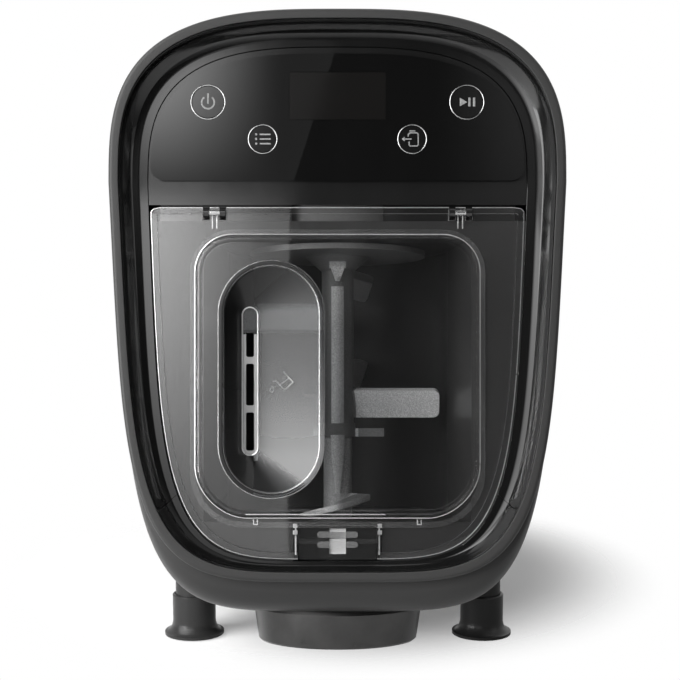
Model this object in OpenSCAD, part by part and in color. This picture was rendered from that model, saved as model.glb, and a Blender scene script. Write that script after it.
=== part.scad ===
/* [Stance] */
// Lean of the whole head back from upright, in degrees
lean = 8; // [5:0.5:10]
// Height of the head's reference point over the floor
head_z = 170.6; // [165:0.1:180]
// Distance of the head's reference point in front of the part's origin
head_forward = 186.5; // [180:0.1:192]
// Height of the flat underside over the floor
underside_z = 40; // [36:0.5:46]

/* [Front ring] */
// Half the width of the front ring
ring_half_w = 117.2; // [112:0.1:124]
// Height of the widest point over the reference point
ring_mid = 115; // [110:0.5:120]
// Height of the crown over the widest point
crown_h = 88.8; // [84:0.1:94]
// Depth of the chin under the widest point
chin_h = 204.7; // [200:0.1:209]
// How far the sides close in towards the chin, as a share of the width
ring_taper = 0.088; // [0.06:0.002:0.11]
// Squareness of the crown
crown_power = 3; // [2.6:0.1:3.6]
// Squareness of the chin
chin_power = 4.8; // [4:0.1:6]
// Width of the matt band round the front
band_w = 5.2; // [4:0.1:7]
// Depth of the matt band
band_depth = 8; // [6:0.5:10]
// Points on one turn of every moulded outline
seg = 80; // [48:8:96]

/* [Housing] */
// Wall of the moulded housings
body_wall = 3; // [2:0.1:4]
// Depth of the head from front to back
body_depth = 370; // [355:1:390]
// Depth at which the front and rear housings meet
split_n = 130; // [124:1:140]
// How far the chin swells under the ring
chin_swell = 18.3; // [12:0.1:20]
// Depth at which the swell is full
chin_swell_n = 28; // [24:1:34]
// Radius of the rounded back
rear_round = 45; // [30:1:60]
// How far the roof has dropped at the back
crown_drop = 24; // [10:1:36]
// Thickness of the back wall with its ledge
rear_wall = 6; // [5:0.5:8]
// Width of the back wall left round the rear cover
rear_rim = 8; // [6:0.5:12]
// Width of the ledge that the rear cover rests on
rear_ledge = 6; // [4:0.5:9]

/* [Bezel] */
// Depth of the flat zone that the sloped bezel leads down to
bezel_depth = 15; // [12:0.5:17]
// Thickness of the bezel
bezel_wall = 2; // [1.5:0.1:3]
// Width of the bezel's slope at the sides
bezel_side = 13.2; // [10:0.1:16]
// Width of the bezel's slope at the crown
bezel_top = 11.1; // [9:0.1:13]
// Width of the bezel's slope at the chin
bezel_low = 4.2; // [3:0.1:7]
// How far the opening closes in towards the chin
mouth_taper = 0.078; // [0.06:0.002:0.1]
// Height of a seam's inner end over the bottom of the opening
seam_rise = 34; // [22:0.1:45]
// Distance of a seam's inner end from the widest part of the opening's side
seam_in = 14.2; // [10:0.1:20]
// Climb of a seam towards the middle, as a share of its width
seam_slope = 0.9; // [0.6:0.05:1.2]

/* [Control panel] */
// Height of the panel's straight lower edge over the widest point
panel_rise = 2.6; // [0:0.1:7]
// Gap between the panel's crown and the bezel
panel_gap = 3.9; // [2:0.1:6]
// Gap between the panel's sides and the bezel
panel_side_gap = 1.6; // [1:0.1:4]
// Thickness of the panel
panel_t = 2; // [1.5:0.1:2.4]
// Depth of the panel's front face
panel_n = 13; // [12:0.1:13.2]
// Width of the display window
display_w = 50.4; // [40:0.1:56]
// Height of the display window
display_h = 25; // [18:0.1:28]
// Distance of the display's centre below the panel's crown
display_drop = 22.1; // [18:0.1:24]
// Radius of the two outer buttons' rings
button_r = 9.1; // [8:0.1:10]
// Distance of the outer buttons from the middle
button_x = 67.2; // [62:0.1:74]
// Distance of the outer buttons below the panel's crown
button_drop = 25.3; // [22:0.1:30]
// Radius of the two inner buttons' rings
small_button_r = 7.7; // [7:0.1:8.5]
// Distance of the inner buttons from the middle
small_button_x = 38.8; // [37:0.1:46]
// Distance of the inner buttons below the panel's crown
small_button_drop = 44.5; // [43.5:0.1:50]
// Width of the bright ring round a button
trim_w = 0.7; // [0.5:0.1:1]
// Travel of a button
button_travel = 0.8; // [0.4:0.1:1.2]

/* [Lid] */
// Distance of the lid's top edge below the widest point
lid_drop = 11; // [10.6:0.1:13]
// Thickness of the lid
lid_t = 2.5; // [2:0.1:3]
// Depth of the lid's outer face
lid_n = 13.5; // [13:0.1:14]
// Gap between the lid and the bezel
lid_gap = 0.9; // [0.5:0.1:1.5]
// Half the width of the lid's raised window
window_half_w = 74; // [71:0.5:78]
// Width of the lid's border above the window
window_drop = 14.4; // [13:0.1:18]
// Gap between the window and the latch
window_rise_gap = 2.1; // [1:0.1:6]
// How far the window stands proud of the lid
window_rise = 3; // [2:0.1:4]
// Radius of the window's upper corners
window_r = 19.3; // [12:0.1:26]
// Radius of the hinge knuckles
knuckle_r = 2.6; // [2.3:0.1:2.8]
// Radius of the hinge pins
pin_r = 1.5; // [1.2:0.05:1.7]
// Distance of each hinge from the middle
hinge_x = 64; // [58:0.5:70]
// Length of a hinge knuckle
knuckle_len = 5; // [4:0.5:10]
// Width of a hinge ear
ear_w = 3; // [2:0.1:6]
// Width of the rib from a knuckle down to the window
hinge_rib_w = 2.8; // [2:0.1:4]

/* [Water funnel] */
// Distance of the funnel's centre from the middle
funnel_x = -34.25; // [-37:0.1:-32]
// Radius of the funnel's round ends
funnel_r = 26.35; // [23:0.05:27]
// Distance of the funnel's upper end below the window's top edge
funnel_drop = 14.8; // [10:0.1:22]
// Distance of the funnel's lower end over the window's bottom edge
funnel_rise = 13.7; // [10:0.1:20]
// Wall of the funnel
funnel_wall = 1.8; // [1.2:0.1:2.2]
// Straight depth of the funnel's side before its floor slopes
funnel_straight = 3; // [2:0.1:4]
// Depth from the rim to the slot
funnel_depth = 15.5; // [12:0.1:17]
// Distance of the slot from the funnel's centre line
slot_offset = 11.95; // [9:0.05:14]
// Width of the slot
slot_w = 4.2; // [3:0.1:5]
// Distance of the slot below the funnel's upper end
slot_drop = 35.6; // [30:0.1:42]
// Distance of the slot over the funnel's lower end
slot_rise = 23.2; // [18:0.1:30]
// Width of the bars across the slot
slot_bar = 3.6; // [2:0.1:5]

/* [Latch] */
// Half the width of the latch tab
latch_half_w = 20.2; // [16:0.1:24]
// Height of the latch tab
latch_h = 17.2; // [15:0.1:20]
// Distance of the latch's pivot below the tab's top edge
pivot_drop = 5; // [4:0.1:7]
// Radius of the latch's pivot pins
latch_pin_r = 0.8; // [0.5:0.05:0.9]
// Length of a ridge on the latch tab
ridge_len = 21.2; // [14:0.1:30]
// Width of a ridge on the latch tab
ridge_w = 3.3; // [2:0.1:4]
// Distance between the two ridges
ridge_pitch = 5.2; // [4.6:0.1:6]
// Width of the latch's nose
nose_w = 8.6; // [6:0.1:12]
// Height of the leaf on the back of the latch
leaf_h = 13.3; // [8:0.1:14]
// Reach of the latch's nose behind the lid
nose_len = 7.5; // [6.5:0.1:9]

/* [Mixing chamber] */
// Depth of the mixer's axis behind the front
shaft_n = 76; // [75:0.5:80]
// Radius inside the chamber
chamber_r = 62; // [60:0.5:66]
// Wall of the chamber
chamber_wall = 3; // [2:0.1:4]
// Distance of the chamber's ceiling below the window's top edge
ceiling_drop = 1.6; // [0:0.1:4]
// Distance of the chamber's floor below the window's bottom edge
floor_drop = 0.1; // [0:0.1:4]
// Distance of the chamber's mouth from the window's sides
chamber_side = 4; // [3:0.5:8]
// Depth of the chamber flange's front face
flange_n = 17.5; // [17.3:0.1:18.5]
// Thickness of the chamber flange
flange_t = 2.5; // [2:0.1:3.5]
// Distance of the chamber flange's top edge below the lid's
flange_drop = 7; // [6.5:0.1:10]

/* [Mixer] */
// Radius of the mixing paddle's tube
tube_r = 9; // [8:0.1:11]
// Radius that the paddle's arms sweep
sweep_r = 57; // [52:0.5:58]
// Width of an arm
arm_w = 16; // [10:0.1:20]
// Thickness of an arm
arm_t = 4.5; // [3:0.1:7]
// Radius of the disc at the top of the paddle
disc_r = 49; // [40:0.5:52]
// Thickness of that disc
disc_t = 3; // [2:0.1:4]
// Width of the rib down the tube
rib_w = 6.9; // [5:0.1:9]
// Height over the chamber's floor at which the paddle ends
auger_rise = 43.5; // [38:0.5:48]
// Height over the chamber's floor at which the auger's flight begins
flight_rise = 12; // [6:0.5:16]
// Distance of the auger's lower end over the shaping disc
auger_gap = 10; // [6:0.5:14]
// Radius of the auger's flight
auger_r = 23.8; // [20:0.1:26]
// Radius of the auger's core
core_r = 8; // [6:0.1:10]
// Pitch of the auger's flight
auger_pitch = 36; // [28:1:44]
// Thickness of the flight
flight_t = 3.6; // [2.4:0.1:5]
// Radius of the drive shaft
shaft_r = 6; // [5:0.1:7]
// Reach of the drive shaft below the chamber's ceiling
shaft_reach = 28; // [22:1:36]

/* [Gears] */
// Module of the slow pair of gears
slow_module = 2; // [1.9:0.1:2.1]
// Module of the two quick pairs of gears
quick_module = 1.5; // [1.4:0.1:1.6]
// Teeth on the mixer's gear
drive_teeth = 48; // [44:1:48]
// Teeth on the pinion that turns it
slow_pinion_teeth = 24; // [22:1:26]
// Teeth on each of the two quick wheels
wheel_teeth = 44; // [40:1:46]
// Teeth on the pinion that turns the first wheel
mid_pinion_teeth = 22; // [20:1:24]
// Teeth on the motor's pinion
motor_pinion_teeth = 18; // [16:1:20]
// Width of the slow gears
slow_gear_w = 12; // [8:0.5:12]
// Width of the quick gears
quick_gear_w = 7; // [5:0.5:8]
// Gap between one layer of gears and the next
layer_gap = 2; // [1:0.1:3]
// Radius of the gear axles
axle_r = 4; // [3:0.1:5]
// Wall of the gear case
case_wall = 3; // [2.5:0.1:4]
// Room round the gears in their case
case_room = 3; // [2:0.1:4]

/* [Motor] */
// Radius of the motor's can
motor_r = 40; // [34:0.5:46]
// Length of the motor's can
motor_len = 104; // [80:1:120]
// Radius of the rotor
rotor_r = 22; // [16:0.5:26]
// Radius of the motor's shaft
motor_shaft_r = 4; // [3:0.1:5]
// Radius of the cooling fan
fan_r = 34; // [24:0.5:38]
// Height of the cooling fan
fan_h = 12; // [8:0.5:16]
// Number of blades on the fan
fan_blades = 10; // [6:1:14]

/* [Outlet] */
// Radius of the locking ring at its top
outlet_r = 46.8; // [44:0.1:48]
// Radius of the locking ring at its bottom
outlet_low_r = 44.2; // [42:0.1:46]
// Height of the locking ring
outlet_h = 20.3; // [18:0.1:22]
// Reach of the locking ring below the underside
outlet_reach = 8.1; // [6:0.1:10]
// Radius inside the locking ring's lip
lip_r = 36.5; // [34:0.1:38]
// Radius of the extrusion tube's foot
tube_foot_r = 38; // [36:0.1:39]
// Radius outside the extrusion tube
extruder_r = 30; // [28:0.1:33]
// Reach of a bayonet lug
lug_reach = 3; // [2:0.1:3.4]
// Thickness of the shaping disc
die_t = 5; // [3:0.1:5.2]
// Radius of a hole in the shaping disc
die_hole_r = 1; // [0.6:0.05:1.4]

/* [Feet] */
// Distance of the front feet from the middle
front_foot_x = 92; // [84:0.5:94]
// Distance of the front feet in front of the origin
front_foot_y = 17.5; // [10:0.5:30]
// Distance of the rear feet from the middle
rear_foot_x = 75; // [60:0.5:85]
// Distance of the rear feet behind the origin
rear_foot_y = 130; // [115:0.5:140]
// Radius of a leg
leg_r = 11.65; // [9:0.05:13]
// Height of the seam between a leg's post and its socket
leg_seam_z = 37; // [32:0.5:38]
// Height of the foot sleeve
sleeve_z = 27; // [22:0.5:30]
// Radius of the foot sleeve
sleeve_r = 13.65; // [13.4:0.05:15]
// Radius of the foot's flare
flare_r = 18.85; // [16:0.05:21]
// Height of the foot's flare
flare_h = 9; // [6:0.5:12]
// Height of the rubber pad
pad_h = 3; // [2:0.1:4]

/* [Boards and fasteners] */
// Thickness of a circuit board
board_t = 1.6; // [1:0.1:2]
// Radius of a screw's shank
screw_r = 1.5; // [1.2:0.05:1.7]
// Radius of a screw's head
screw_head_r = 3; // [2.5:0.1:3.4]
// Gap where pieces seat on each other
seat = 0.3; // [0.2:0.05:0.4]
// Running clearance round a shaft or pin
run_gap = 0.05; // [0.02:0.01:0.08]

/* [Hidden] */
$fn = 64;
eps = 0.01;
ring_sect = [ring_half_w, crown_h, chin_h, ring_taper, crown_power, chin_power];
mouth_half_w = ring_half_w - band_w - bezel_side;
mouth_up = crown_h - band_w - bezel_top;
mouth_down = chin_h - band_w - bezel_low;
mouth_sect = [mouth_half_w, mouth_up, mouth_down, mouth_taper, crown_power, chin_power];
band_sect = inset(ring_sect, band_w + seat);
mouth_floor = ring_mid - mouth_down;
seam_w = mouth_floor + seam_rise;
seam_half_w = mouth_half_w - seam_in;
panel_bottom = ring_mid + panel_rise;
panel_up = mouth_up - panel_gap;
panel_half_w = mouth_half_w - panel_side_gap;
display_z = ring_mid + panel_up - display_drop;
button_z = ring_mid + panel_up - button_drop;
small_button_z = ring_mid + panel_up - small_button_drop;
lid_top = ring_mid - lid_drop;
latch_bottom = mouth_floor + lid_gap + 0.2;
latch_top = latch_bottom + latch_h;
latch_pivot = latch_top - pivot_drop;
window_top = lid_top - window_drop;
window_bottom = latch_top + window_rise_gap;
funnel_top = window_top - funnel_drop;
funnel_bottom = window_bottom + funnel_rise;
slot_x = funnel_x - slot_offset;
slot_top = funnel_top - slot_drop;
slot_bottom = funnel_bottom + slot_rise;
chamber_top = window_top - ceiling_drop;
chamber_floor = window_bottom - floor_drop;
chamber_mouth = window_half_w - chamber_side;
flange_top = lid_top - flange_drop;
auger_top = chamber_floor + auger_rise;
flight_top = chamber_floor + flight_rise;
shaft_bottom = chamber_top - shaft_reach;
outlet_bottom = underside_w(shaft_n) - outlet_reach;
outlet_top = outlet_bottom + outlet_h;
full_round_n = body_depth - rear_round;
bezel_back = flange_n - seat;
face_n = panel_n + panel_t + seat;
face_t = 3;
lid_back = lid_n + lid_t;
hinge_n = lid_back - 0.5;
lid_seal_w = 3;
hinge_w = lid_top - knuckle_r - 0.2;
face_bottom = lid_top + 1.2;
window_n = lid_n - window_rise;
board_n = face_n + face_t + 7;
paddle_disc_top = chamber_top - 1;
slow_w0 = chamber_top + chamber_wall + seat + case_wall + 1.7;
quick_w0 = slow_w0 + slow_gear_w + layer_gap;
motor_w0 = quick_w0 + quick_gear_w + layer_gap;
case_floor_w = chamber_top + chamber_wall + seat;
case_lid_w = motor_w0 + quick_gear_w + layer_gap;
low_lid_w = slow_w0 + slow_gear_w + layer_gap;
slow_n = shaft_n + slow_module * (drive_teeth + slow_pinion_teeth) / 2;
quick_n = slow_n + quick_module * (wheel_teeth + mid_pinion_teeth) / 2;
motor_n = quick_n + quick_module * (wheel_teeth + motor_pinion_teeth) / 2;
case_r = slow_module * (drive_teeth / 2 + 1) + case_room;
case_half_w = quick_module * (wheel_teeth / 2 + 1) + case_room;
case_back = motor_n + quick_module * (motor_pinion_teeth / 2 + 1) + case_room;
case_step_n = slow_n - quick_module * (wheel_teeth / 2 + 1) - case_room;
motor_top = case_floor_w - seat - case_wall;
tube_top_w = chamber_floor - chamber_wall - 2;
die_top = outlet_bottom + 2 + seat + die_t;
tube_foot_w = die_top + seat;
lug_w = tube_foot_w + 1.5;
auger_bottom = die_top + auger_gap;
legs = [for (side = [-1, 1]) each [[side * front_foot_x, -front_foot_y], [side * rear_foot_x, rear_foot_y]]];
vent_w = 3;
vent_half_w = 38;
cover_x = 80;
cover_y0 = 8;
cover_y1 = 108;

// ---- outlines -------------------------------------------------------------
// A section is [half width, height up, depth down, taper, upper power, lower power].
function inset(s, d) = [s[0] - d, s[1] - d, s[2] - d, s[3], s[4], s[5]];
function outline_point(s, a) =
    let (power = sin(a) < 0 ? s[5] : s[4],
         t = pow(abs(sin(a)), 2 / power),
         x = sign(cos(a)) * pow(abs(cos(a)), 2 / power) * s[0])
    sin(a) < 0 ? [x * (1 - s[3] * t), ring_mid - s[2] * t] : [x, ring_mid + s[1] * t];
function outline(s) = [for (i = [0 : seg - 1]) outline_point(s, 360 * i / seg)];
function ring(s, n) = [for (p = outline(s)) [p[0], n, p[1]]];
function mix(a, b, f) = [for (i = [0 : len(a) - 1]) a[i] + (b[i] - a[i]) * f];
function arc(x, y, r, a0, a1, steps) =
    [for (i = [0 : steps]) let (a = a0 + (a1 - a0) * i / steps) [x + r * cos(a), y + r * sin(a)]];
function round_rect(x0, x1, y0, y1, low_r, high_r) = concat(
    arc(x1 - low_r, y0 + low_r, low_r, -90, 0, 10), arc(x1 - high_r, y1 - high_r, high_r, 0, 90, 10),
    arc(x0 + high_r, y1 - high_r, high_r, 90, 180, 10), arc(x0 + low_r, y0 + low_r, low_r, 180, 270, 10));

// The housing's section at depth n: the chin swells, then the underside runs level.
function underside_w(n) = (underside_z - head_z + n * sin(lean)) / cos(lean);
function chin_rise(n) = sqrt(1 - pow(1 - min(1, max(0, (n - band_depth) / (chin_swell_n - band_depth))), 2));
function housing_down(n) = n <= chin_swell_n
    ? chin_h - 1.2 + (chin_swell + 1.2) * chin_rise(n)
    : lookup(n, [[chin_swell_n, chin_h + chin_swell], [100, ring_mid - underside_w(100)],
                 [body_depth, ring_mid - underside_w(body_depth)]]);
function housing_sect(n) = inset([
    ring_half_w - 1.2 * (1 - chin_rise(n)),
    crown_h - crown_drop * pow(n / body_depth, 2) - 1.2 * (1 - chin_rise(n)),
    housing_down(n),
    lookup(n, [[chin_swell_n, ring_taper], [100, 0.06], [150, 0.03], [200, 0.02]]),
    crown_power,
    lookup(n, [[chin_swell_n, 5], [100, 5.5], [150, 7], [200, 8]])],
    rear_inset(n, rear_round));
function rear_inset(n, r) =
    n <= full_round_n ? 0 : r * (1 - sqrt(1 - pow(min(1, (n - full_round_n) / r), 2)));
front_stations = [band_depth + 1, 11, 15, 21, chin_swell_n, 60, 100, split_n];
rear_stations = [split_n + seat, 165, 200, 260, full_round_n,
    for (u = [0.35, 0.6, 0.8, 0.92, 1]) full_round_n + rear_round * u];
rear_inner = [split_n + seat, 165, 200, 260, full_round_n,
    for (u = [0.35, 0.6, 0.8, 1]) full_round_n + (rear_round - rear_wall) * u];

// ---- shared shapes --------------------------------------------------------
// Rings of points joined into a solid with two flat ends.
module loft(rings) {
    m = len(rings);
    k = len(rings[0]);
    polyhedron(
        points = [for (r = rings) each r],
        faces = concat(
            [for (i = [0 : m - 2], j = [0 : k - 1]) let (e = (j + 1) % k)
                each [[i * k + j, i * k + e, (i + 1) * k + e],
                      [i * k + j, (i + 1) * k + e, (i + 1) * k + j]]],
            [[for (j = [k - 1 : -1 : 0]) j]],
            [[for (j = [0 : k - 1]) (m - 1) * k + j]]));
}

// Rings of points joined into an open sleeve, the last ring to the first.
module sleeve_loft(rings) {
    m = len(rings);
    k = len(rings[0]);
    polyhedron(
        points = [for (r = rings) each r],
        faces = [for (i = [0 : m - 1], j = [0 : k - 1]) let (e = (j + 1) % k, f = (i + 1) % m)
            each [[i * k + j, i * k + e, f * k + e], [i * k + j, f * k + e, f * k + j]]]);
}

// The head's own frame: X right, Y into the machine, Z up the leaning face.
module head() translate([0, -head_forward, head_z]) rotate([-lean, 0, 0]) children();

// The mixer's axis, with Z up the shaft.
module on_shaft(n = shaft_n) head() translate([0, n, 0]) children();

// A flat outline in X and height, run from depth n0 to depth n1.
module along_n(n0, n1) translate([0, n1, 0]) rotate([90, 0, 0]) linear_extrude(n1 - n0) children();

module rod_n(x, w, r, n0, n1) along_n(n0, n1) translate([x, w]) circle(r);

// A rod along X at depth n and height w.
module rod_x(x0, x1, n, w, r) translate([x0, n, w]) rotate([0, 90, 0]) cylinder(r = r, h = x1 - x0);

module pipe(r_out, r_in, z0, z1) translate([0, 0, z0]) difference() {
    cylinder(r = r_out, h = z1 - z0);
    translate([0, 0, -1]) cylinder(r = r_in, h = z1 - z0 + 2);
}

module disc(r, z0, z1) translate([0, 0, z0]) cylinder(r = r, h = z1 - z0);

// ---- housing --------------------------------------------------------------
module front_housing() color("#2b2b2d") difference() {
    head() sleeve_loft(concat(
        [ring(inset(ring_sect, 2.2), 0), ring(inset(ring_sect, 0.7), 0.8), ring(ring_sect, 2.6),
         ring(ring_sect, band_depth - 0.5), ring(inset(ring_sect, 1.2), band_depth)],
        [for (n = front_stations) ring(housing_sect(n), n)],
        [for (i = [len(front_stations) - 1 : -1 : 1])
            ring(inset(housing_sect(front_stations[i]), body_wall), front_stations[i])],
        [ring(inset(ring_sect, band_w), band_depth), ring(inset(ring_sect, band_w), 0.4),
         ring(inset(ring_sect, band_w - 0.4), 0)]));
    on_shaft() disc(outlet_r + 0.8, outlet_bottom, outlet_top + 14);
}

module rear_body() head() loft([for (n = rear_stations) ring(inset(housing_sect(n), -seat), n)]);

module rear_housing() color("#2b2b2d") difference() {
    union() {
        difference() {
            head() loft([for (n = rear_stations) ring(housing_sect(n), n)]);
            head() loft(concat([ring(inset(housing_sect(split_n), body_wall), split_n - 1)],
                [for (n = rear_inner) ring(inset(housing_sect(n), body_wall), n)]));
        }
        board_screw_places() translate([0, 0, -seat - 8.5]) cylinder(r = 3.5, h = 8.5);
    }
    board_screw_places() translate([0, 0, -seat - 6]) cylinder(r = screw_r - 0.3, h = 7);
    head() along_n(body_depth - rear_wall - 5, body_depth + 1)
        polygon(outline(inset(housing_sect(body_depth), rear_rim + rear_ledge)));
    head() along_n(body_depth - rear_wall / 2, body_depth + 1)
        polygon(outline(inset(housing_sect(body_depth), rear_rim)));
    on_shaft() disc(outlet_r + 0.8, outlet_bottom, outlet_top + 14);
    translate([0, 0, underside_z - 2]) linear_extrude(body_wall + 6)
        polygon(round_rect(-cover_x + 7, cover_x - 7, cover_y0 + 7, cover_y1 - 7, 5, 5));
    bottom_screw_places() translate([0, 0, underside_z - 2]) cylinder(r = screw_r, h = body_wall + 6);
    rear_screw_places() rod_n(0, 0, screw_r, body_depth - rear_wall - 1, body_depth + 1);
}

module rear_screw_places() head() for (x = [-1, 1], w = [0, 1])
    translate([x * 0.62 * (housing_sect(body_depth)[0] - rear_rim), 0, w == 1 ? rear_hi : rear_lo])
        children();
rear_hi = ring_mid + 0.913 * (housing_sect(body_depth)[1] - rear_rim) - screw_head_r - 0.8;
rear_lo = ring_mid - (housing_sect(body_depth)[2] - rear_rim) + screw_head_r + 0.8;

module rear_cover() color("#242426") difference() {
    head() along_n(body_depth - rear_wall / 2 + seat, body_depth)
        polygon(outline(inset(housing_sect(body_depth), rear_rim + seat)));
    head() for (i = [0 : 9]) along_n(body_depth - rear_wall, body_depth + 1)
        translate([0, gland_w + 19 + 9 * i]) square([2 * vent_half_w, vent_w], center = true);
    rear_screw_places() {
        rod_n(0, 0, screw_r + 0.2, body_depth - rear_wall, body_depth + 1);
        rod_n(0, 0, screw_head_r + 0.2, body_depth - 1.4, body_depth + 1);
    }
    head() rod_n(gland_x, gland_w, 6 + seat, body_depth - rear_wall, body_depth + 1);
}

gland_x = -30;
gland_w = underside_w(body_depth) + rear_round + rear_rim + 17.9;

module cord_gland() color("#1c1c1e") head() difference() {
    union() {
        rod_n(gland_x, gland_w, 6, body_depth - rear_wall - 6, body_depth + seat);
        rod_n(gland_x, gland_w, 9, body_depth + seat, body_depth + 2.5);
        rod_n(gland_x, gland_w, 5.4, body_depth + 2.5, body_depth + 9);
        rod_n(gland_x, gland_w, 8, body_depth - rear_wall - 6, body_depth - rear_wall - 3);
    }
    rod_n(gland_x, gland_w, 3.4, body_depth - rear_wall - 7, body_depth + 10);
}

module screw(depth) {
    rod_n(0, 0, screw_head_r, body_depth - 1.3, body_depth - 0.1);
    rod_n(0, 0, screw_r - run_gap, body_depth - 1.3 - depth, body_depth - 1.3);
}

module rear_cover_screws() color("#8c8c90") rear_screw_places() screw(4.4);

module bottom_screw_places() for (x = [-1, 1], y = [cover_y0 + 3.5, cover_y1 - 3.5])
    translate([x * (cover_x - 20), y, 0]) children();

module bottom_cover() color("#242426") difference() {
    translate([0, 0, underside_z - seat - 2.2]) linear_extrude(2.2)
        polygon(round_rect(-cover_x, cover_x, cover_y0, cover_y1, 8, 8));
    bottom_screw_places() translate([0, 0, underside_z - 5]) {
        cylinder(r = screw_r + 0.2, h = 6);
        cylinder(r = screw_head_r + 0.2, h = 4);
    }
    for (i = [0 : 8]) translate([-32 + 8 * i, (cover_y0 + cover_y1) / 2, underside_z - 5])
        linear_extrude(6) square([vent_w, cover_y1 - cover_y0 - 50], center = true);
}

module bottom_cover_screws() color("#8c8c90") bottom_screw_places()
translate([0, 0, underside_z - seat - 2.1]) {
    cylinder(r = screw_head_r, h = 1.2);
    cylinder(r = screw_r - run_gap, h = 6);
}

// ---- bezels and face ------------------------------------------------------
// A cove: steep beside the band, then running out flat to the mouth.
// Each step is [share of the way to the mouth, share of the depth].
cove = [[0, 0], [0.1, 0.38], [0.28, 0.71], [0.5, 0.91], [0.72, 1]];
bezel_front = 0.8;
function cove_n(i) = bezel_front + cove[i][1] * (bezel_depth - bezel_front);
function cove_ring(i, n) = ring(mix(band_sect, mouth_sect, cove[i][0]), n);

module bezel_ring() head() sleeve_loft(concat(
    [for (i = [0 : 4]) cove_ring(i, cove_n(i))],
    [ring(mouth_sect, bezel_depth), ring(mouth_sect, bezel_back), cove_ring(4, bezel_back)],
    [for (i = [3, 2]) cove_ring(i, min(bezel_back, cove_n(i) + bezel_wall))],
    [ring(band_sect, cove_n(1) + bezel_wall)]));

// Everything under the seams, which climb towards the middle.
module below_seam(gap) head() along_n(-5, bezel_back + 10) {
    x = ring_half_w + 20;
    w = seam_w - gap - (x - seam_half_w) * seam_slope;
    polygon([[-x, w], [-seam_half_w, seam_w - gap], [seam_half_w, seam_w - gap], [x, w],
             [x, ring_mid - chin_h - 50], [-x, ring_mid - chin_h - 50]]);
}

module upper_bezel() color("#0c0c0d") difference() {
    bezel_ring();
    below_seam(0);
}

module lower_bezel() color("#0c0c0d") intersection() {
    bezel_ring();
    below_seam(seat);
}

button_places = [
    [-button_x, button_z, button_r], [button_x, button_z, button_r],
    [-small_button_x, small_button_z, small_button_r], [small_button_x, small_button_z, small_button_r]];
board_half_w = panel_half_w - 12;
board_posts = [for (x = [-1, 1], w = [display_z + 9, display_z - 28]) [x * (board_half_w - 5.2), w]];
stem_r = 3;

module face_plate() color("#161617") head() difference() {
    union() {
        intersection() {
            along_n(face_n, face_n + face_t) polygon(outline(inset(mouth_sect, seat)));
            along_n(face_n - 1, face_n + face_t + 1)
                translate([-ring_half_w, face_bottom]) square([2 * ring_half_w, 2 * crown_h]);
        }
        along_n(face_n + face_t - eps, flange_n + flange_t + 2.5)
            translate([-mouth_half_w + 6, face_bottom]) square([2 * mouth_half_w - 12, 2.5]);
        along_n(flange_n + flange_t, flange_n + flange_t + 2.5)
            translate([-mouth_half_w + 6, flange_top - 3])
                square([2 * mouth_half_w - 12, face_bottom + 5.5 - flange_top]);
        for (s = [-1, 1], e = [-1, 1]) hinge_ear(s * hinge_x + e * (knuckle_len / 2 + seat + ear_w / 2));
        for (p = board_posts) rod_n(p[0], p[1], 3.2, face_n + face_t - eps, board_n - seat);
    }
    for (b = button_places) rod_n(b[0], b[1], stem_r + 0.5, 0, 40);
    along_n(0, 40) translate([0, display_z]) square([display_w - 2, display_h - 2], center = true);
    along_n(face_n + face_t + 1.2, 40) translate([-24, flange_top - 6]) square([48, 24]);
    for (s = [-1, 1]) rod_x(s * hinge_x - 20, s * hinge_x + 20, hinge_n, hinge_w, pin_r);
}

// An ear carries one end of a hinge pin, on a web from the plate behind the lid's top edge.
module hinge_ear(x) translate([x - ear_w / 2, 0, 0]) {
    translate([0, hinge_n, hinge_w]) rotate([0, 90, 0]) cylinder(r = knuckle_r, h = ear_w);
    translate([0, hinge_n, hinge_w - knuckle_r + 0.6])
        cube([ear_w, flange_n + flange_t + eps - hinge_n, 2 * knuckle_r - 1.2]);
}

panel_sect = [panel_half_w, panel_up, 20, 0, crown_power, 20];

module control_panel() color("#0a0a0b") head() difference() {
    intersection() {
        along_n(panel_n, panel_n + panel_t) polygon(outline(panel_sect));
        along_n(panel_n - 1, panel_n + panel_t + 1)
            polygon(round_rect(-panel_half_w, panel_half_w, panel_bottom, panel_bottom + 2 * crown_h, 7, 7));
    }
    for (b = button_places) rod_n(b[0], b[1], b[2] + 0.1, 0, 40);
    along_n(0, 40) translate([0, display_z]) square([display_w, display_h], center = true);
}

module display_window() color("#1e1f21") head() along_n(panel_n + 0.1, panel_n + panel_t)
    translate([0, display_z]) square([display_w - 0.4, display_h - 0.4], center = true);

module display_module() color("#3a3d3a") head() along_n(face_n + face_t + seat, board_n - seat)
    translate([0, display_z]) square([display_w + 4, display_h + 3], center = true);

module button_board() color("#1f5b38") head() difference() {
    union() {
        along_n(board_n, board_n + board_t)
            polygon(round_rect(-board_half_w, board_half_w, display_z - 33, display_z + 14, 3, 3));
        for (b = button_places) along_n(board_n - 2.6, board_n + eps)
            translate([b[0], b[1]]) square(6, center = true);
    }
    for (p = board_posts) rod_n(p[0], p[1], 1.2, 0, 60);
}

module button_rings() color("#c8c9cc") head() for (b = button_places) difference() {
    rod_n(b[0], b[1], b[2], panel_n - 0.2, panel_n + panel_t);
    rod_n(b[0], b[1], b[2] - trim_w, panel_n - 1, panel_n + panel_t + 1);
}

// A cap with a stem that reaches through the face plate to its switch.
module push_button(b) color("#121213") head() {
    rod_n(b[0], b[1], b[2] - trim_w - 0.2, panel_n, face_n - button_travel - seat);
    rod_n(b[0], b[1], stem_r, panel_n + 0.5, board_n - 2.6 - button_travel - 0.1);
}

module power_button() push_button(button_places[0]);
module play_pause_button() push_button(button_places[1]);
module menu_button() push_button(button_places[2]);
module extrude_button() push_button(button_places[3]);

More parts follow.
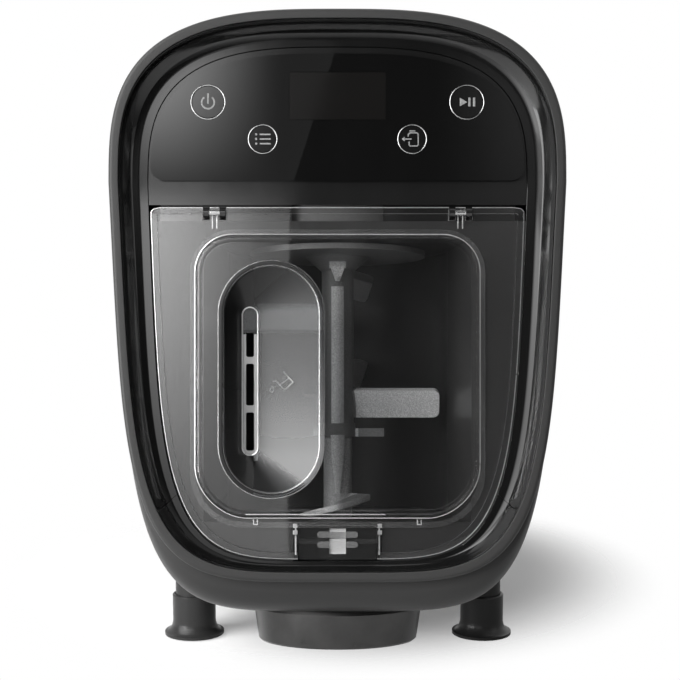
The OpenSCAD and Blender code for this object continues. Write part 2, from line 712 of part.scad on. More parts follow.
// ---- lid ------------------------------------------------------------------
module lid_outline() intersection() {
    polygon(outline(inset(mouth_sect, lid_gap)));
    polygon(round_rect(-mouth_half_w + lid_gap, mouth_half_w - lid_gap, mouth_floor - 10, lid_top, 1, 5));
}

module window_outline(d) polygon(round_rect(-window_half_w + d, window_half_w - d,
    window_bottom + d, window_top - d, window_r + 6 - d, window_r - d));

module stadium(r, top, bottom) {
    translate([0, top - r]) circle(r);
    translate([0, bottom + r]) circle(r);
    translate([-r, bottom + r]) square([2 * r, top - bottom - 2 * r]);
}

module funnel_outline(d) translate([funnel_x, 0]) stadium(funnel_r + d, funnel_top + d, funnel_bottom - d);

module lid_shell() color([0.75, 0.78, 0.8, 0.35]) head() difference() {
    union() {
        difference() {
            along_n(lid_n, lid_back) lid_outline();
            along_n(lid_n - 1, lid_back + 1) window_outline(lid_t);
        }
        difference() {
            along_n(window_n, lid_back) window_outline(0);
            along_n(window_n + lid_t, lid_back + 1) window_outline(lid_t);
        }
        for (s = [-1, 1]) {
            rod_x(s * hinge_x - knuckle_len / 2, s * hinge_x + knuckle_len / 2, hinge_n, hinge_w, knuckle_r);
            along_n(lid_back - eps, lid_back + 0.8)
                translate([s * hinge_x - hinge_rib_w / 2, window_top + lid_seal_w + seat])
                    square([hinge_rib_w, hinge_w - 1 - window_top - lid_seal_w - seat]);
        }
    }
    for (s = [-1, 1], e = [-1, 1])
        along_n(lid_n - 1, lid_back + 3)
            translate([s * hinge_x + e * (knuckle_len / 2 + seat + ear_w / 2), hinge_w - 4.2 + 10])
                square([ear_w + 2 * seat, 20], center = true);
    for (s = [-1, 1]) rod_x(s * hinge_x - 10, s * hinge_x + 10, hinge_n, hinge_w, pin_r + run_gap);
    along_n(window_n - 1, lid_back + 1) funnel_outline(seat / 2);
    along_n(lid_n - 1, lid_back + 1) translate([-latch_half_w - 0.4, latch_bottom - 5])
        square([2 * latch_half_w + 0.8, latch_h + 5.4]);
    rod_x(-latch_half_w - 3, latch_half_w + 3, latch_n, latch_pivot, latch_pin_r + run_gap);
}

module funnel_room(d) hull() {
    along_n(window_n - 0.8, window_n - 0.8 + funnel_straight + d) funnel_outline(-funnel_wall + d);
    along_n(window_n + funnel_depth - 1, window_n + funnel_depth + d)
        translate([slot_x, 0]) stadium(slot_w / 2 + 1.5 + d, slot_top + 13 + d, slot_bottom - 2 - d);
}

module water_funnel() color([0.6, 0.62, 0.64, 0.8]) head() difference() {
    union() {
        funnel_room(funnel_wall);
        along_n(window_n - 0.8, window_n - 0.1) funnel_outline(1.4);
    }
    funnel_room(0);
    along_n(window_n - 3, window_n) funnel_outline(-funnel_wall);
    slot_part(slot_bottom, slot_cut(1) - slot_bar / 2);
    slot_part(slot_cut(1) + slot_bar / 2, slot_cut(2) - slot_bar / 2);
    slot_part(slot_cut(2) + slot_bar / 2, slot_top);
}

function slot_cut(i) = slot_bottom + (slot_top - slot_bottom) * (i == 1 ? 0.39 : 0.79);
module slot_part(w0, w1) along_n(window_n, window_n + funnel_depth + 8)
    translate([slot_x - slot_w / 2, w0]) square([slot_w, w1 - w0]);

module lid_seal() color("#303030") head() difference() {
    along_n(lid_back, flange_n - seat) window_outline(-lid_seal_w);
    along_n(lid_back - 1, flange_n + 1) window_outline(0);
}

module hinge_pins() color("#b0b0b4") head() for (s = [-1, 1])
    rod_x(s * hinge_x - knuckle_len / 2 - seat - ear_w, s * hinge_x + knuckle_len / 2 + seat + ear_w,
        hinge_n, hinge_w, pin_r);

// ---- latch ----------------------------------------------------------------
latch_n = lid_n + lid_t / 2;

// A rocking tab with two ridges, stub pins at its sides and a nose behind the lid.
module lid_latch() color([0.25, 0.25, 0.26, 0.7]) head() {
    along_n(lid_n, lid_back)
        polygon(round_rect(-latch_half_w, latch_half_w, latch_bottom, latch_top, 1.5, 1.5));
    for (i = [0, 1]) along_n(lid_n - 0.7, lid_n + eps)
        translate([0, latch_top - 4.25 - i * ridge_pitch]) rotate(90)
            stadium(ridge_w / 2, ridge_len / 2, -ridge_len / 2);
    along_n(lid_back - eps, lid_back + 1.2)
        translate([-nose_w / 2, latch_top - 1.3 - leaf_h]) square([nose_w, leaf_h]);
    along_n(lid_back - eps, lid_back + nose_len)
        translate([-nose_w / 2, latch_pivot - 1.8]) square([nose_w, 3.6]);
    rod_x(-latch_half_w - 2.6, latch_half_w + 2.6, latch_n, latch_pivot, latch_pin_r);
}

module latch_catch() color("#5c5c60") head()
    along_n(flange_n + flange_t + seat, flange_n + flange_t + seat + 2.2)
        translate([-latch_half_w - 7, latch_pivot - 1.8 - seat - 2.6]) square([2 * latch_half_w + 14, 2.6]);

// ---- mixing chamber and outlet --------------------------------------------
module chamber_plan(d) intersection() {
    union() {
        translate([0, shaft_n]) circle(chamber_r + d);
        polygon([[-chamber_mouth - d, flange_n], [chamber_mouth + d, flange_n],
                 [chamber_r + d, shaft_n], [-chamber_r - d, shaft_n]]);
    }
    translate([-100, flange_n - (d == 0 ? 5 : 0)]) square([200, 200]);
}

module mixing_chamber() color("#1d1d20") head() difference() {
    union() {
        translate([0, 0, chamber_floor - chamber_wall])
            linear_extrude(chamber_top - chamber_floor + 2 * chamber_wall) chamber_plan(chamber_wall);
        along_n(flange_n, flange_n + flange_t) intersection() {
            polygon(outline(inset(mouth_sect, seat - bezel_wall)));
            translate([-ring_half_w, ring_mid - chin_h])
                square([2 * ring_half_w, flange_top - ring_mid + chin_h]);
        }
    }
    translate([0, 0, chamber_floor]) linear_extrude(chamber_top - chamber_floor) chamber_plan(0);
    translate([0, shaft_n, 0]) {
        disc(auger_r + 0.8, chamber_floor - 10, chamber_floor + 1);
        disc(seal_r, chamber_top - 1, chamber_top + 10);
    }
    along_n(flange_n - 1, flange_n + flange_t + 1) translate([-latch_half_w - 3, latch_bottom - 1.2])
        square([2 * latch_half_w + 6, latch_h + 2.2]);
}

seal_r = shaft_r + 5.7;
module drive_seal() color("#6b2f2a") on_shaft()
    pipe(seal_r, shaft_r + run_gap, paddle_disc_top + seat, chamber_top + chamber_wall);

module tube_seal() color("#303030") on_shaft()
    pipe(extruder_r - 0.4, auger_r + 1.4, tube_top_w, chamber_floor - chamber_wall);

// A barrel with a foot that flares to the die and three bayonet lugs.
module extrusion_tube() color("#3a3a3d") on_shaft() difference() {
    union() {
        disc(extruder_r, tube_foot_w + 15, tube_top_w - eps);
        disc(tube_foot_r, tube_foot_w, tube_foot_w + 19);
        disc(outlet_r + 3, tube_foot_w + 19, tube_foot_w + 22.5);
        for (a = [90, 210, 330]) lug(a, tube_foot_r - 1, tube_foot_r + lug_reach, lug_w, 12);
    }
    disc(auger_r + 0.8, tube_foot_w - 1, tube_top_w + 1);
    translate([0, 0, tube_foot_w - eps])
        cylinder(r1 = tube_foot_r - 4, r2 = auger_r + 0.8, h = auger_bottom - tube_foot_w + eps);
}

// A curved lug that spans an angle either side of its middle.
module lug(a, r_in, r_out, w, half_angle) translate([0, 0, w]) linear_extrude(2.8)
    polygon(concat(arc(0, 0, r_out, a - half_angle, a + half_angle, 8),
                   arc(0, 0, r_in, a + half_angle, a - half_angle, 8)));

module shaping_disc() color("#c9c4b6") on_shaft() difference() {
    disc(tube_foot_r + lug_reach - 0.1, die_top - die_t, die_top);
    for (row = [1 : 3], i = [0 : 6 * row - 1])
        rotate(360 * i / (6 * row)) translate([9.5 * row, 0, die_top - die_t - 1])
            cylinder(r = die_hole_r, h = die_t + 2, $fn = 16);
}

// A tapered ring with a lip under the die and three lugs over the tube's lugs.
module locking_ring() color("#4a4b4e") on_shaft() {
    room = tube_foot_r + lug_reach + seat;
    rotate_extrude() polygon([
        [lip_r, outlet_bottom], [outlet_low_r - 1, outlet_bottom], [outlet_low_r, outlet_bottom + 1],
        [outlet_r, outlet_top - 2], [outlet_r - 0.6, outlet_top], [room, outlet_top],
        [room, outlet_bottom + 2], [lip_r, outlet_bottom + 2]]);
    for (a = [90, 210, 330]) lug(a, tube_foot_r + seat, room + 1, lug_w + 2.8 + seat, 12);
}

// ---- mixer ----------------------------------------------------------------
arms = [[auger_top + 66.5, 180], [auger_top + 18.9, 0], [paddle_disc_top - 16, 72], [auger_top + 36.5, 76]];

module mixing_paddle() color("#6e6f72") on_shaft() difference() {
    union() {
        disc(tube_r, auger_top, paddle_disc_top);
        disc(tube_r + 1, auger_top, auger_top + 7.5);
        disc(disc_r, paddle_disc_top - disc_t, paddle_disc_top);
        translate([0, 0, paddle_disc_top - disc_t - 8]) cylinder(r1 = tube_r, r2 = tube_r + 9, h = 8 + eps);
        along_n(-tube_r - 2.2, 0) translate([-rib_w / 2, auger_top + 7.5])
            square([rib_w, paddle_disc_top - 20 - auger_top - 7.5]);
        along_n(-tube_r - 2.2, 0) translate([0, paddle_disc_top - 17])
            polygon([[-1.2, 0], [1.2, 0], [5, 10.6], [-5, 10.6]]);
        for (arm = arms) rotate(arm[1]) translate([0, 0, arm[0]]) paddle_arm();
        for (wing = [[0, 26], [180, 14]])
            rotate(wing[0]) translate([0, -3, auger_top]) cube([wing[1], 6, 4.5]);
        along_n(-core_r - 3.4, -core_r - seat) polygon([[-3.9, auger_top + 1], [3.9, auger_top + 1],
            [3.3, auger_top - 12], [1.3, flight_top + seat],
            [-1.3, flight_top + seat], [-3.3, auger_top - 12]]);
    }
    disc(shaft_r + run_gap, shaft_bottom - seat, paddle_disc_top + 1);
}

// A flat arm, tilted about its own length, with round outer corners.
module paddle_arm() rotate([20, 0, 0]) translate([0, arm_t / 2, 0]) rotate([90, 0, 0]) linear_extrude(arm_t)
    difference() {
        polygon(round_rect(tube_r - 4, sweep_r, -arm_w / 2, arm_w / 2, 3.5, 3.5));
        translate([-20, -20]) square([tube_r - 4 + 22, 40 - 12]);
    }

// A solid core with one helical flight.
module auger() color("#58595c") on_shaft() {
    disc(core_r, auger_bottom, auger_top - seat);
    span = 360 * flight_t / auger_pitch;
    turns = (flight_top - auger_bottom) / auger_pitch;
    translate([0, 0, auger_bottom]) rotate(-20)
        linear_extrude(height = flight_top - auger_bottom, twist = -360 * turns, slices = round(18 * turns))
            polygon(concat(arc(0, 0, auger_r, 0, span, 4), arc(0, 0, core_r - 1, span, 0, 3)));
}

module drive_shaft() color("#a9aaae") on_shaft() disc(shaft_r, shaft_bottom, low_lid_w + case_wall);

// ---- gears ----------------------------------------------------------------
// A gear with its first tooth centred on the angle tooth_at.
module gear(teeth, size, width, tooth_at) {
    r = size * teeth / 2;
    step = 360 / teeth;
    rotate(tooth_at) linear_extrude(width) polygon([for (i = [0 : teeth - 1])
        each [for (f = [[-0.30, -1.2], [-0.23, 0], [-0.11, 0.9], [0.11, 0.9], [0.23, 0], [0.30, -1.2]])
            let (a = (i + f[0]) * step, q = r + f[1] * size) [q * cos(a), q * sin(a)]]]);
}

module drive_gear() color("#d8d3c4") on_shaft() translate([0, 0, slow_w0]) difference() {
    gear(drive_teeth, slow_module, slow_gear_w, 90);
    for (z = [-1, slow_gear_w - 3]) pipe_cut(slow_module * drive_teeth / 2 - 8, shaft_r + 7, z, 4);
    for (i = [0 : 5]) rotate(60 * i + 30) translate([(slow_module * drive_teeth / 2 + shaft_r) / 2, 0, -1])
        cylinder(r = 7, h = slow_gear_w + 2);
    disc(shaft_r, -1, slow_gear_w + 1);
}

module pipe_cut(r_out, r_in, z, h) translate([0, 0, z]) difference() {
    cylinder(r = r_out, h = h);
    translate([0, 0, -1]) cylinder(r = r_in, h = h + 2);
}

// A pinion under a wheel, on one hub.
module gear_pair(low_teeth, low_module, low_w0, low_width, high_w0, half_turn) difference() {
    union() {
        translate([0, 0, low_w0]) gear(low_teeth, low_module, low_width, half_turn);
        translate([0, 0, high_w0]) gear(wheel_teeth, quick_module, quick_gear_w, 90);
        disc(axle_r + 6, low_w0, high_w0 + quick_gear_w);
    }
    disc(axle_r + run_gap, low_w0 - 1, high_w0 + quick_gear_w + 1);
    for (i = [0 : 4]) rotate(72 * i) translate([quick_module * wheel_teeth * 0.36, 0, high_w0 - eps])
        cylinder(r = 5.5, h = quick_gear_w + 2);
}

module slow_gear() color("#d8d3c4") on_shaft(slow_n)
    gear_pair(slow_pinion_teeth, slow_module, slow_w0, slow_gear_w, quick_w0, -90 + 180 / slow_pinion_teeth);
module quick_gear() color("#cfcabb") on_shaft(quick_n)
    gear_pair(mid_pinion_teeth, quick_module, quick_w0, quick_gear_w, motor_w0, -90 + 180 / mid_pinion_teeth);
module motor_pinion() color("#b8a25a") on_shaft(motor_n) translate([0, 0, motor_w0]) difference() {
    gear(motor_pinion_teeth, quick_module, quick_gear_w, -90 + 180 / motor_pinion_teeth);
    disc(motor_shaft_r, -1, quick_gear_w + 1);
}

module gear_axles() color("#a9aaae") {
    on_shaft(slow_n) disc(axle_r, case_floor_w + 1, case_lid_w + 1);
    on_shaft(quick_n) disc(axle_r, case_floor_w + 1, case_lid_w + 1);
}

module shaft_bearings() color("#9c9da1") on_shaft() {
    pipe(shaft_r + 5, shaft_r + run_gap, case_floor_w, slow_w0 - seat);
    pipe(shaft_r + 5, shaft_r + run_gap, slow_w0 + slow_gear_w + seat, low_lid_w + case_wall);
}

module case_plan(d) {
    translate([0, shaft_n]) circle(case_r + d);
    polygon(round_rect(-case_half_w - d, case_half_w + d, shaft_n, case_back + d, 4, 6 + d));
}

case_lugs = [[-1, slow_n + 20], [1, slow_n + 20], [-1, case_back - 8], [1, case_back - 8]];
module case_lug_places() head() for (l = case_lugs)
    translate([l[0] * (case_half_w + case_wall + 3), l[1], 0]) children();

module gear_case() color("#3c3d40") difference() {
    union() {
        head() difference() {
            translate([0, 0, case_floor_w]) linear_extrude(low_lid_w - case_floor_w) case_plan(case_wall);
            translate([0, 0, case_floor_w + case_wall]) linear_extrude(60) case_plan(0);
        }
        on_shaft() disc(shaft_r + 8, case_floor_w, slow_w0 - seat - 0.5);
        on_shaft(slow_n) disc(axle_r + 3, case_floor_w, slow_w0 - seat);
        on_shaft(quick_n) disc(axle_r + 4, case_floor_w, quick_w0 - seat);
        case_lug_places() disc(4.5, low_lid_w - 14, low_lid_w);
    }
    on_shaft() disc(shaft_r + 5, case_floor_w - 1, slow_w0);
    on_shaft(slow_n) disc(axle_r, case_floor_w + 1, case_lid_w);
    on_shaft(quick_n) disc(axle_r, case_floor_w + 1, case_lid_w);
    on_shaft(motor_n) disc(motor_shaft_r + 5 + seat, case_floor_w - 1, case_lid_w);
    case_lug_places() disc(screw_r, low_lid_w - 11, low_lid_w + 1);
}

module gear_case_cover() color("#45464a") difference() {
    union() {
        head() difference() {
            union() {
                translate([0, 0, low_lid_w + seat]) linear_extrude(case_wall - seat) case_plan(case_wall);
                translate([0, 0, low_lid_w + seat]) linear_extrude(case_lid_w + case_wall - low_lid_w - seat)
                    high_plan(case_wall);
            }
            translate([0, 0, low_lid_w - 1]) linear_extrude(case_lid_w + 1 - low_lid_w) high_plan(0);
        }
        on_shaft() disc(shaft_r + 8, slow_w0 + slow_gear_w + seat + 0.5, low_lid_w + case_wall);
        on_shaft(slow_n) disc(axle_r + 3, quick_w0 + quick_gear_w + seat, case_lid_w + eps);
        on_shaft(quick_n) disc(axle_r + 3, motor_w0 + quick_gear_w + seat, case_lid_w + eps);
        case_lug_places() disc(4.5, low_lid_w + seat, low_lid_w + 5);
    }
    on_shaft() disc(shaft_r + 5, slow_w0, low_lid_w + case_wall + 1);
    on_shaft(slow_n) disc(axle_r, quick_w0, case_lid_w + 1);
    on_shaft(quick_n) disc(axle_r, motor_w0, case_lid_w + 1);
    case_lug_places() disc(screw_r + 0.2, low_lid_w, low_lid_w + 6);
}

module high_plan(d) intersection() {
    case_plan(d);
    translate([-100, case_step_n - d]) square([200, 300]);
}

module gear_case_screws() color("#8c8c90") case_lug_places() {
    disc(screw_head_r, low_lid_w + 5, low_lid_w + 7);
    disc(screw_r - run_gap, low_lid_w - 9, low_lid_w + 5 + eps);
}

// ---- motor ----------------------------------------------------------------
motor_bottom = motor_top - motor_len;
end_plate = 4;
fan_top = motor_bottom - 3;

module motor_can() color("#8f9094") on_shaft(motor_n) difference() {
    disc(motor_r, motor_bottom, motor_top - seat);
    disc(rotor_r + 1, motor_bottom + end_plate, motor_top - seat - end_plate);
    disc(motor_shaft_r + 5, motor_bottom - 1, motor_top + 1);
    for (i = [0 : 5]) rotate(60 * i) translate([rotor_r + 7 + 0.4 * (motor_r - rotor_r - 7), 0, motor_bottom - 1])
        cylinder(r = 3, h = end_plate + 6);
}

module motor_bearings() color("#9c9da1") on_shaft(motor_n) {
    pipe(motor_shaft_r + 5, motor_shaft_r + run_gap, motor_bottom, motor_bottom + end_plate);
    pipe(motor_shaft_r + 5, motor_shaft_r + run_gap, motor_top - seat - end_plate, case_floor_w + case_wall);
}

module motor_rotor() color("#7d6a4c") on_shaft(motor_n) {
    disc(motor_shaft_r, fan_top - fan_h - 2, motor_w0 + quick_gear_w + 1);
    disc(rotor_r, motor_bottom + end_plate + 8, motor_top - seat - end_plate - 8);
}

module cooling_fan() color("#c2c2bd") on_shaft(motor_n) difference() {
    union() {
        disc(motor_shaft_r + 4, fan_top - fan_h, fan_top);
        disc(fan_r, fan_top - 1.6, fan_top);
        for (i = [0 : fan_blades - 1]) rotate(360 * i / fan_blades)
            translate([motor_shaft_r + 3, -0.8, fan_top - fan_h]) cube([fan_r - motor_shaft_r - 4, 1.6, fan_h]);
    }
    disc(motor_shaft_r, fan_top - fan_h - 1, fan_top + 1);
}

module motor_mount() color("#55565a") on_shaft(motor_n) difference() {
    translate([0, 0, motor_top]) linear_extrude(case_floor_w - motor_top - seat)
        polygon(round_rect(-motor_r - 2, motor_r + 2, -motor_r - 2, motor_r + 2, 10, 10));
    disc(motor_shaft_r + 5 + seat, motor_top - 1, case_floor_w + 1);
}

// ---- main board -----------------------------------------------------------
board_z = underside_z + body_wall + 7;
board_y = -22;
module main_board() color("#1f5b38") difference() {
    translate([0, board_y, board_z]) {
        linear_extrude(board_t) polygon(round_rect(-60, 60, -24, 24, 3, 3));
        translate([-48, -16, 0]) cube([30, 26, 22]);
        for (x = [0, 16]) translate([x, 2, 0]) cylinder(r = 6, h = 20);
        translate([30, -14, 0]) cube([20, 24, 12]);
    }
    board_screw_places() translate([0, 0, -1]) cylinder(r = screw_r, h = 10);
}
module board_screw_places() for (x = [-54, 54], y = [-18, 18])
    translate([x, board_y + y, board_z]) children();

// ---- legs and feet --------------------------------------------------------
module each_leg() for (p = legs) translate([p[0], p[1], 0]) children();

module leg_sockets() color("#343538") difference() {
    each_leg() disc(leg_r, leg_seam_z + seat, underside_z + 16);
    rear_body();
}

module leg_posts() color("#343538") each_leg() disc(leg_r, pad_h + 6, leg_seam_z);

// A sleeve over the post that flares out to the floor, hollow for the rubber pad.
module foot_sleeves() color("#3a3b3e") each_leg() rotate_extrude() polygon(concat(
    [[leg_r + 0.1, sleeve_z - 1], [leg_r + 0.4, sleeve_z], [sleeve_r - 0.6, sleeve_z],
     [sleeve_r, sleeve_z - 0.6]],
    [for (i = [0 : 8]) let (t = i / 8)
        [sleeve_r + (flare_r - sleeve_r) * (1 - cos(90 * t)), flare_h + 1 - (flare_h - 1.6) * sin(90 * t)]],
    [[flare_r, 0.8], [flare_r - 0.8, 0.6], [pad_r + 0.2, 0.6], [pad_r + 0.2, pad_h + seat],
     [leg_r - 3, pad_h + seat], [leg_r - 3, pad_h + 5.7], [leg_r + 0.1, pad_h + 5.7]]));

pad_r = flare_r - 2.6;
module foot_pads() color("#151516") each_leg() {
    disc(pad_r, 0, pad_h);
    disc(leg_r - 3.3, 0, pad_h + 4);
}

// ---- assembly -------------------------------------------------------------
front_housing();
upper_bezel();
lower_bezel();
face_plate();
control_panel();
display_window();
display_module();
button_board();
button_rings();
power_button();
play_pause_button();
menu_button();
extrude_button();
mixing_chamber();
drive_seal();
extrusion_tube();
tube_seal();
shaping_disc();
locking_ring();
lid_shell();
water_funnel();
lid_seal();
lid_latch();
latch_catch();
hinge_pins();
drive_shaft();
drive_gear();
mixing_paddle();
auger();
slow_gear();
quick_gear();
gear_axles();
shaft_bearings();
gear_case();
gear_case_cover();
gear_case_screws();
motor_rotor();
motor_pinion();
cooling_fan();
motor_can();
motor_bearings();
motor_mount();
main_board();
rear_housing();
rear_cover();
rear_cover_screws();
bottom_cover();
bottom_cover_screws();
cord_gland();
leg_sockets();
leg_posts();
foot_sleeves();
foot_pads();
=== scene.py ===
import bmesh
import bpy
import math
from mathutils import Matrix, Vector


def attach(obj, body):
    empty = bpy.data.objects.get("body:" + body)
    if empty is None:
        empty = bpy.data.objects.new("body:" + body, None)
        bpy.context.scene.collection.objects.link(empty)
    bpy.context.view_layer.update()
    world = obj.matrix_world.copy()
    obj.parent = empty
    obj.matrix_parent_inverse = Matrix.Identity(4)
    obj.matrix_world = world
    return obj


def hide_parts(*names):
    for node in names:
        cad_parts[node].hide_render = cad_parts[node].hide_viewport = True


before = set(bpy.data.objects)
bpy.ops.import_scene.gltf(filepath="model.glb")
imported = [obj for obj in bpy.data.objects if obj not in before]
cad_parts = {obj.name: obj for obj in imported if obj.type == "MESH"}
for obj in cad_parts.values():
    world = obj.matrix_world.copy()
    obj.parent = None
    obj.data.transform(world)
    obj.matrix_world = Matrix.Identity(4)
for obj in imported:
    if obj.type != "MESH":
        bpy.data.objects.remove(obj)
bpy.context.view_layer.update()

# ---- Studio ---------------------------------------------------------------
# A pale floor, a camera low in front of the machine, a soft lamp at its left
# and a weak one at its right, and two white cards that the gloss mirrors.
stage = bpy.context.scene
stage.view_settings.view_transform = "Standard"
camera = bpy.data.objects.new("camera", bpy.data.cameras.new("camera"))
stage.collection.objects.link(camera)
camera.location = (0.0013, -0.9163, 0.2732)
camera.rotation_euler = (math.radians(82), 0, 0)
camera.data.lens = 76.5
camera.data.sensor_width = 36
camera.data.shift_y = 0.0985
camera.data.clip_start = 0.01
stage.camera = camera


class Value:
    """A number that a node gives, with arithmetic that adds Math nodes."""

    def __init__(self, finish, socket):
        self.finish, self.socket = finish, socket

    def maths(self, operation, *numbers):
        return self.finish.node("ShaderNodeMath", {"operation": operation}, dict(enumerate(numbers)))

    def __add__(self, other):
        return self.maths("ADD", self, other)

    def __sub__(self, other):
        return self.maths("SUBTRACT", self, other)

    def __rsub__(self, other):
        return self.maths("SUBTRACT", other, self)

    def __mul__(self, other):
        return self.maths("MULTIPLY", self, other)

    def __pow__(self, other):
        return self.maths("POWER", self, other)

    __radd__ = __add__
    __rmul__ = __mul__

    def top(self, other):
        return self.maths("MAXIMUM", self, other)

    def clamped(self):
        return self.finish.node("ShaderNodeClamp", {}, {0: self})

    def rising(self, low, high):
        """0 under low, 1 over high, smooth between."""
        bounds = {"Value": self, "From Min": low, "From Max": high}
        return self.finish.node("ShaderNodeMapRange", {"interpolation_type": "SMOOTHSTEP"}, bounds)


class Finish:
    """A material or a world while its nodes are put together."""

    def __init__(self, owner):
        owner.use_nodes = True
        self.owner, self.tree = owner, owner.node_tree
        self.tree.nodes.clear()

    def node(self, kind, settings={}, sockets={}, out=0):
        """A node with its settings and sockets filled in, as one of its outputs or a list of them."""
        made = self.tree.nodes.new(kind)
        for key, value in settings.items():
            setattr(made, key, value)
        for key, value in sockets.items():
            if isinstance(value, Value):
                self.tree.links.new(value.socket, made.inputs[key])
            else:
                made.inputs[key].default_value = value
        if isinstance(out, tuple):
            return [Value(self, made.outputs[one]) for one in out]
        return Value(self, made.outputs[out])

    def where(self, scale=(1, 1, 1), turn=(0, 0, 0)):
        """The place on the object, in metres, stretched and turned."""
        place = self.node("ShaderNodeTexCoord", out=3)
        if scale == (1, 1, 1) and turn == (0, 0, 0):
            return place
        return self.node("ShaderNodeMapping", {}, {"Vector": place, "Scale": scale, "Rotation": turn})

    def axes(self, vector):
        return self.node("ShaderNodeSeparateXYZ", {}, {0: vector}, out=(0, 1, 2))

    def rays(self):
        """Whether the camera, clear plastic or a gloss is what looks at this."""
        return self.node("ShaderNodeLightPath", out=("Is Camera Ray", "Is Transmission Ray", "Is Glossy Ray"))

    def noise(self, place, scale, detail=3, rough=0.55):
        sockets = {"Vector": place, "Scale": scale, "Detail": detail, "Roughness": rough}
        return self.node("ShaderNodeTexNoise", {}, sockets)

    def blend(self, factor, low, high):
        """One colour turning into another."""
        return self.node("ShaderNodeMix", {"data_type": "RGBA"}, {0: factor, 6: low, 7: high}, out=2)

    def bump(self, height, strength, distance):
        return self.node("ShaderNodeBump", {}, {"Height": height, "Strength": strength, "Distance": distance})

    def mix(self, factor, low, high):
        """One shader giving way to another."""
        return self.node("ShaderNodeMixShader", {}, {0: factor, 1: low, 2: high})

    def plastic(self, colour, rough, sockets={}):
        """A Principled shader, with whatever else its sockets are given."""
        filled = {"Base Color": colour, "Roughness": rough, **sockets}
        return self.node("ShaderNodeBsdfPrincipled", {}, filled)

    def see_through(self, colour):
        return self.node("ShaderNodeBsdfTransparent", {}, {"Color": colour})

    def shining(self, kind, strength):
        """White light from a world or a card, as strong as a value says."""
        return self.node(kind, {}, {"Color": strength, "Strength": 1.0})

    def surface(self, shader, kind="ShaderNodeOutputMaterial"):
        """Ends the nodes with an output, and gives back the material or world."""
        self.node(kind, {}, {"Surface": shader}, out=())
        return self.owner


def finish(name):
    return Finish(bpy.data.materials.new(name))


def grey(tone, warm=0.0):
    return (tone * (1 + warm), tone, tone * (1 - warm), 1)


world = Finish(bpy.data.worlds.new("studio"))
stage.world = world.owner
by_camera, by_glass, by_gloss = world.rays()
across, depth, height = world.axes(world.node("ShaderNodeTexCoord", out=0))
room_behind = depth.rising(0.05, 0.6)
window_light = 0.4 * across.rising(0.06, 0.14) * height.rising(0.2, 0.36)
right_wall = 0.45 * across.rising(0.5, 0.8)
mirrored = (0.05 + window_light + right_wall + 0.7 * room_behind).clamped() * by_gloss
ambient = 0.11 * (1 - by_gloss)
brightness = by_camera.top(by_glass).top(mirrored).top(ambient)
world.surface(world.shining("ShaderNodeBackground", brightness), "ShaderNodeOutputWorld")


def stage_object(name, bm, material):
    """A floor or a card, which isn't part of the machine."""
    made = bpy.data.objects.new(name, bpy.data.meshes.new(name))
    bm.to_mesh(made.data)
    bm.free()
    stage.collection.objects.link(made)
    made.data.materials.append(material)
    return made


pale = finish("pale_floor")
by_camera, by_glass, by_gloss = pale.rays()
mottle = pale.noise(pale.where(), 9)
dim, lit = (
    pale.node("ShaderNodeBsdfDiffuse", {}, {"Color": pale.blend(mottle, grey(tone), grey(tone + 0.02))})
    for tone in (0.22, 0.84)
)
glow = pale.node("ShaderNodeEmission", {}, {"Color": grey(1), "Strength": 0.12})
seen_floor = pale.node("ShaderNodeAddShader", {}, {0: lit, 1: glow})
near = pale.mix(by_camera.top(by_glass).top(by_gloss), dim, seen_floor)
x, y, _ = pale.axes(pale.where((1.3, 1.2, 1)))
beyond = y - 0.19
faded = ((x * x + beyond * beyond) ** 0.5).rising(0.18, 0.32) * by_camera
floor_mesh = bmesh.new()
bmesh.ops.create_grid(floor_mesh, x_segments=8, y_segments=8, size=14)
stage_object("floor", floor_mesh, pale.surface(pale.mix(faded, near, pale.see_through(grey(1)))))


def lamp(name, place, aim, size, watts):
    """A soft rectangular lamp turned to a point."""
    light = bpy.data.lights.new(name, "AREA")
    light.shape, light.size, light.size_y, light.energy = "RECTANGLE", size[0], size[1], watts
    shown = bpy.data.objects.new(name, light)
    shown.location = place
    shown.rotation_euler = (Vector(aim) - Vector(place)).to_track_quat("-Z", "Y").to_euler()
    shown.visible_camera = False
    stage.collection.objects.link(shown)


lamp("left_softbox", (-1.08, -0.7, 0.8), (0, -0.1, 0.3), (1.1, 1.7), 41)
lamp("low_strip", (-0.75, -0.62, 0.09), (-0.07, -0.15, 0.05), (0.16, 0.4), 2.2)
lamp("right_fill", (1.3, -0.5, 0.9), (0, 0, 0.2), (0.5, 1.0), 1.3)
lamp("overhead", (0.1, 0.1, 1.7), (0, 0, 0), (1.6, 1.2), 5.5)


def card(name, corners, strength):
    """A white board that shines, stood where the front of the machine mirrors it."""
    white = finish(name)
    x, _, z = white.axes(white.where())
    bm = bmesh.new()
    bm.faces.new([bm.verts.new((x0, -1.5, z0)) for x0, z0 in corners])
    board = stage_object(name, bm, white.surface(white.shining("ShaderNodeEmission", strength(-1 * x, z))))
    board.visible_camera = board.visible_shadow = False


left, right, joint = -1.5, -0.073, 0.672
card(
    "lower_card", [(left, 0), (right, 0), (right, joint), (left, joint)],
    lambda leftwards, z: 1.0 + 4.0 * leftwards.rising(0.08, 0.32) * z.rising(0.1, 0.68),
)
card(
    "upper_card", [(left, joint), (right, joint), (0.02, 0.98), (0.02, 1.3), (left, 1.3)],
    lambda leftwards, z: 0.28 + 5.6 * leftwards.rising(0.08, 0.3) * z.rising(0.63, 0.9),
)

# ---- Front housing --------------------------------------------------------
# The front ring and the swelling chin behind it: one injection moulding in
# ABS with a fine spark-eroded grain, screwed to the rear housing inside.

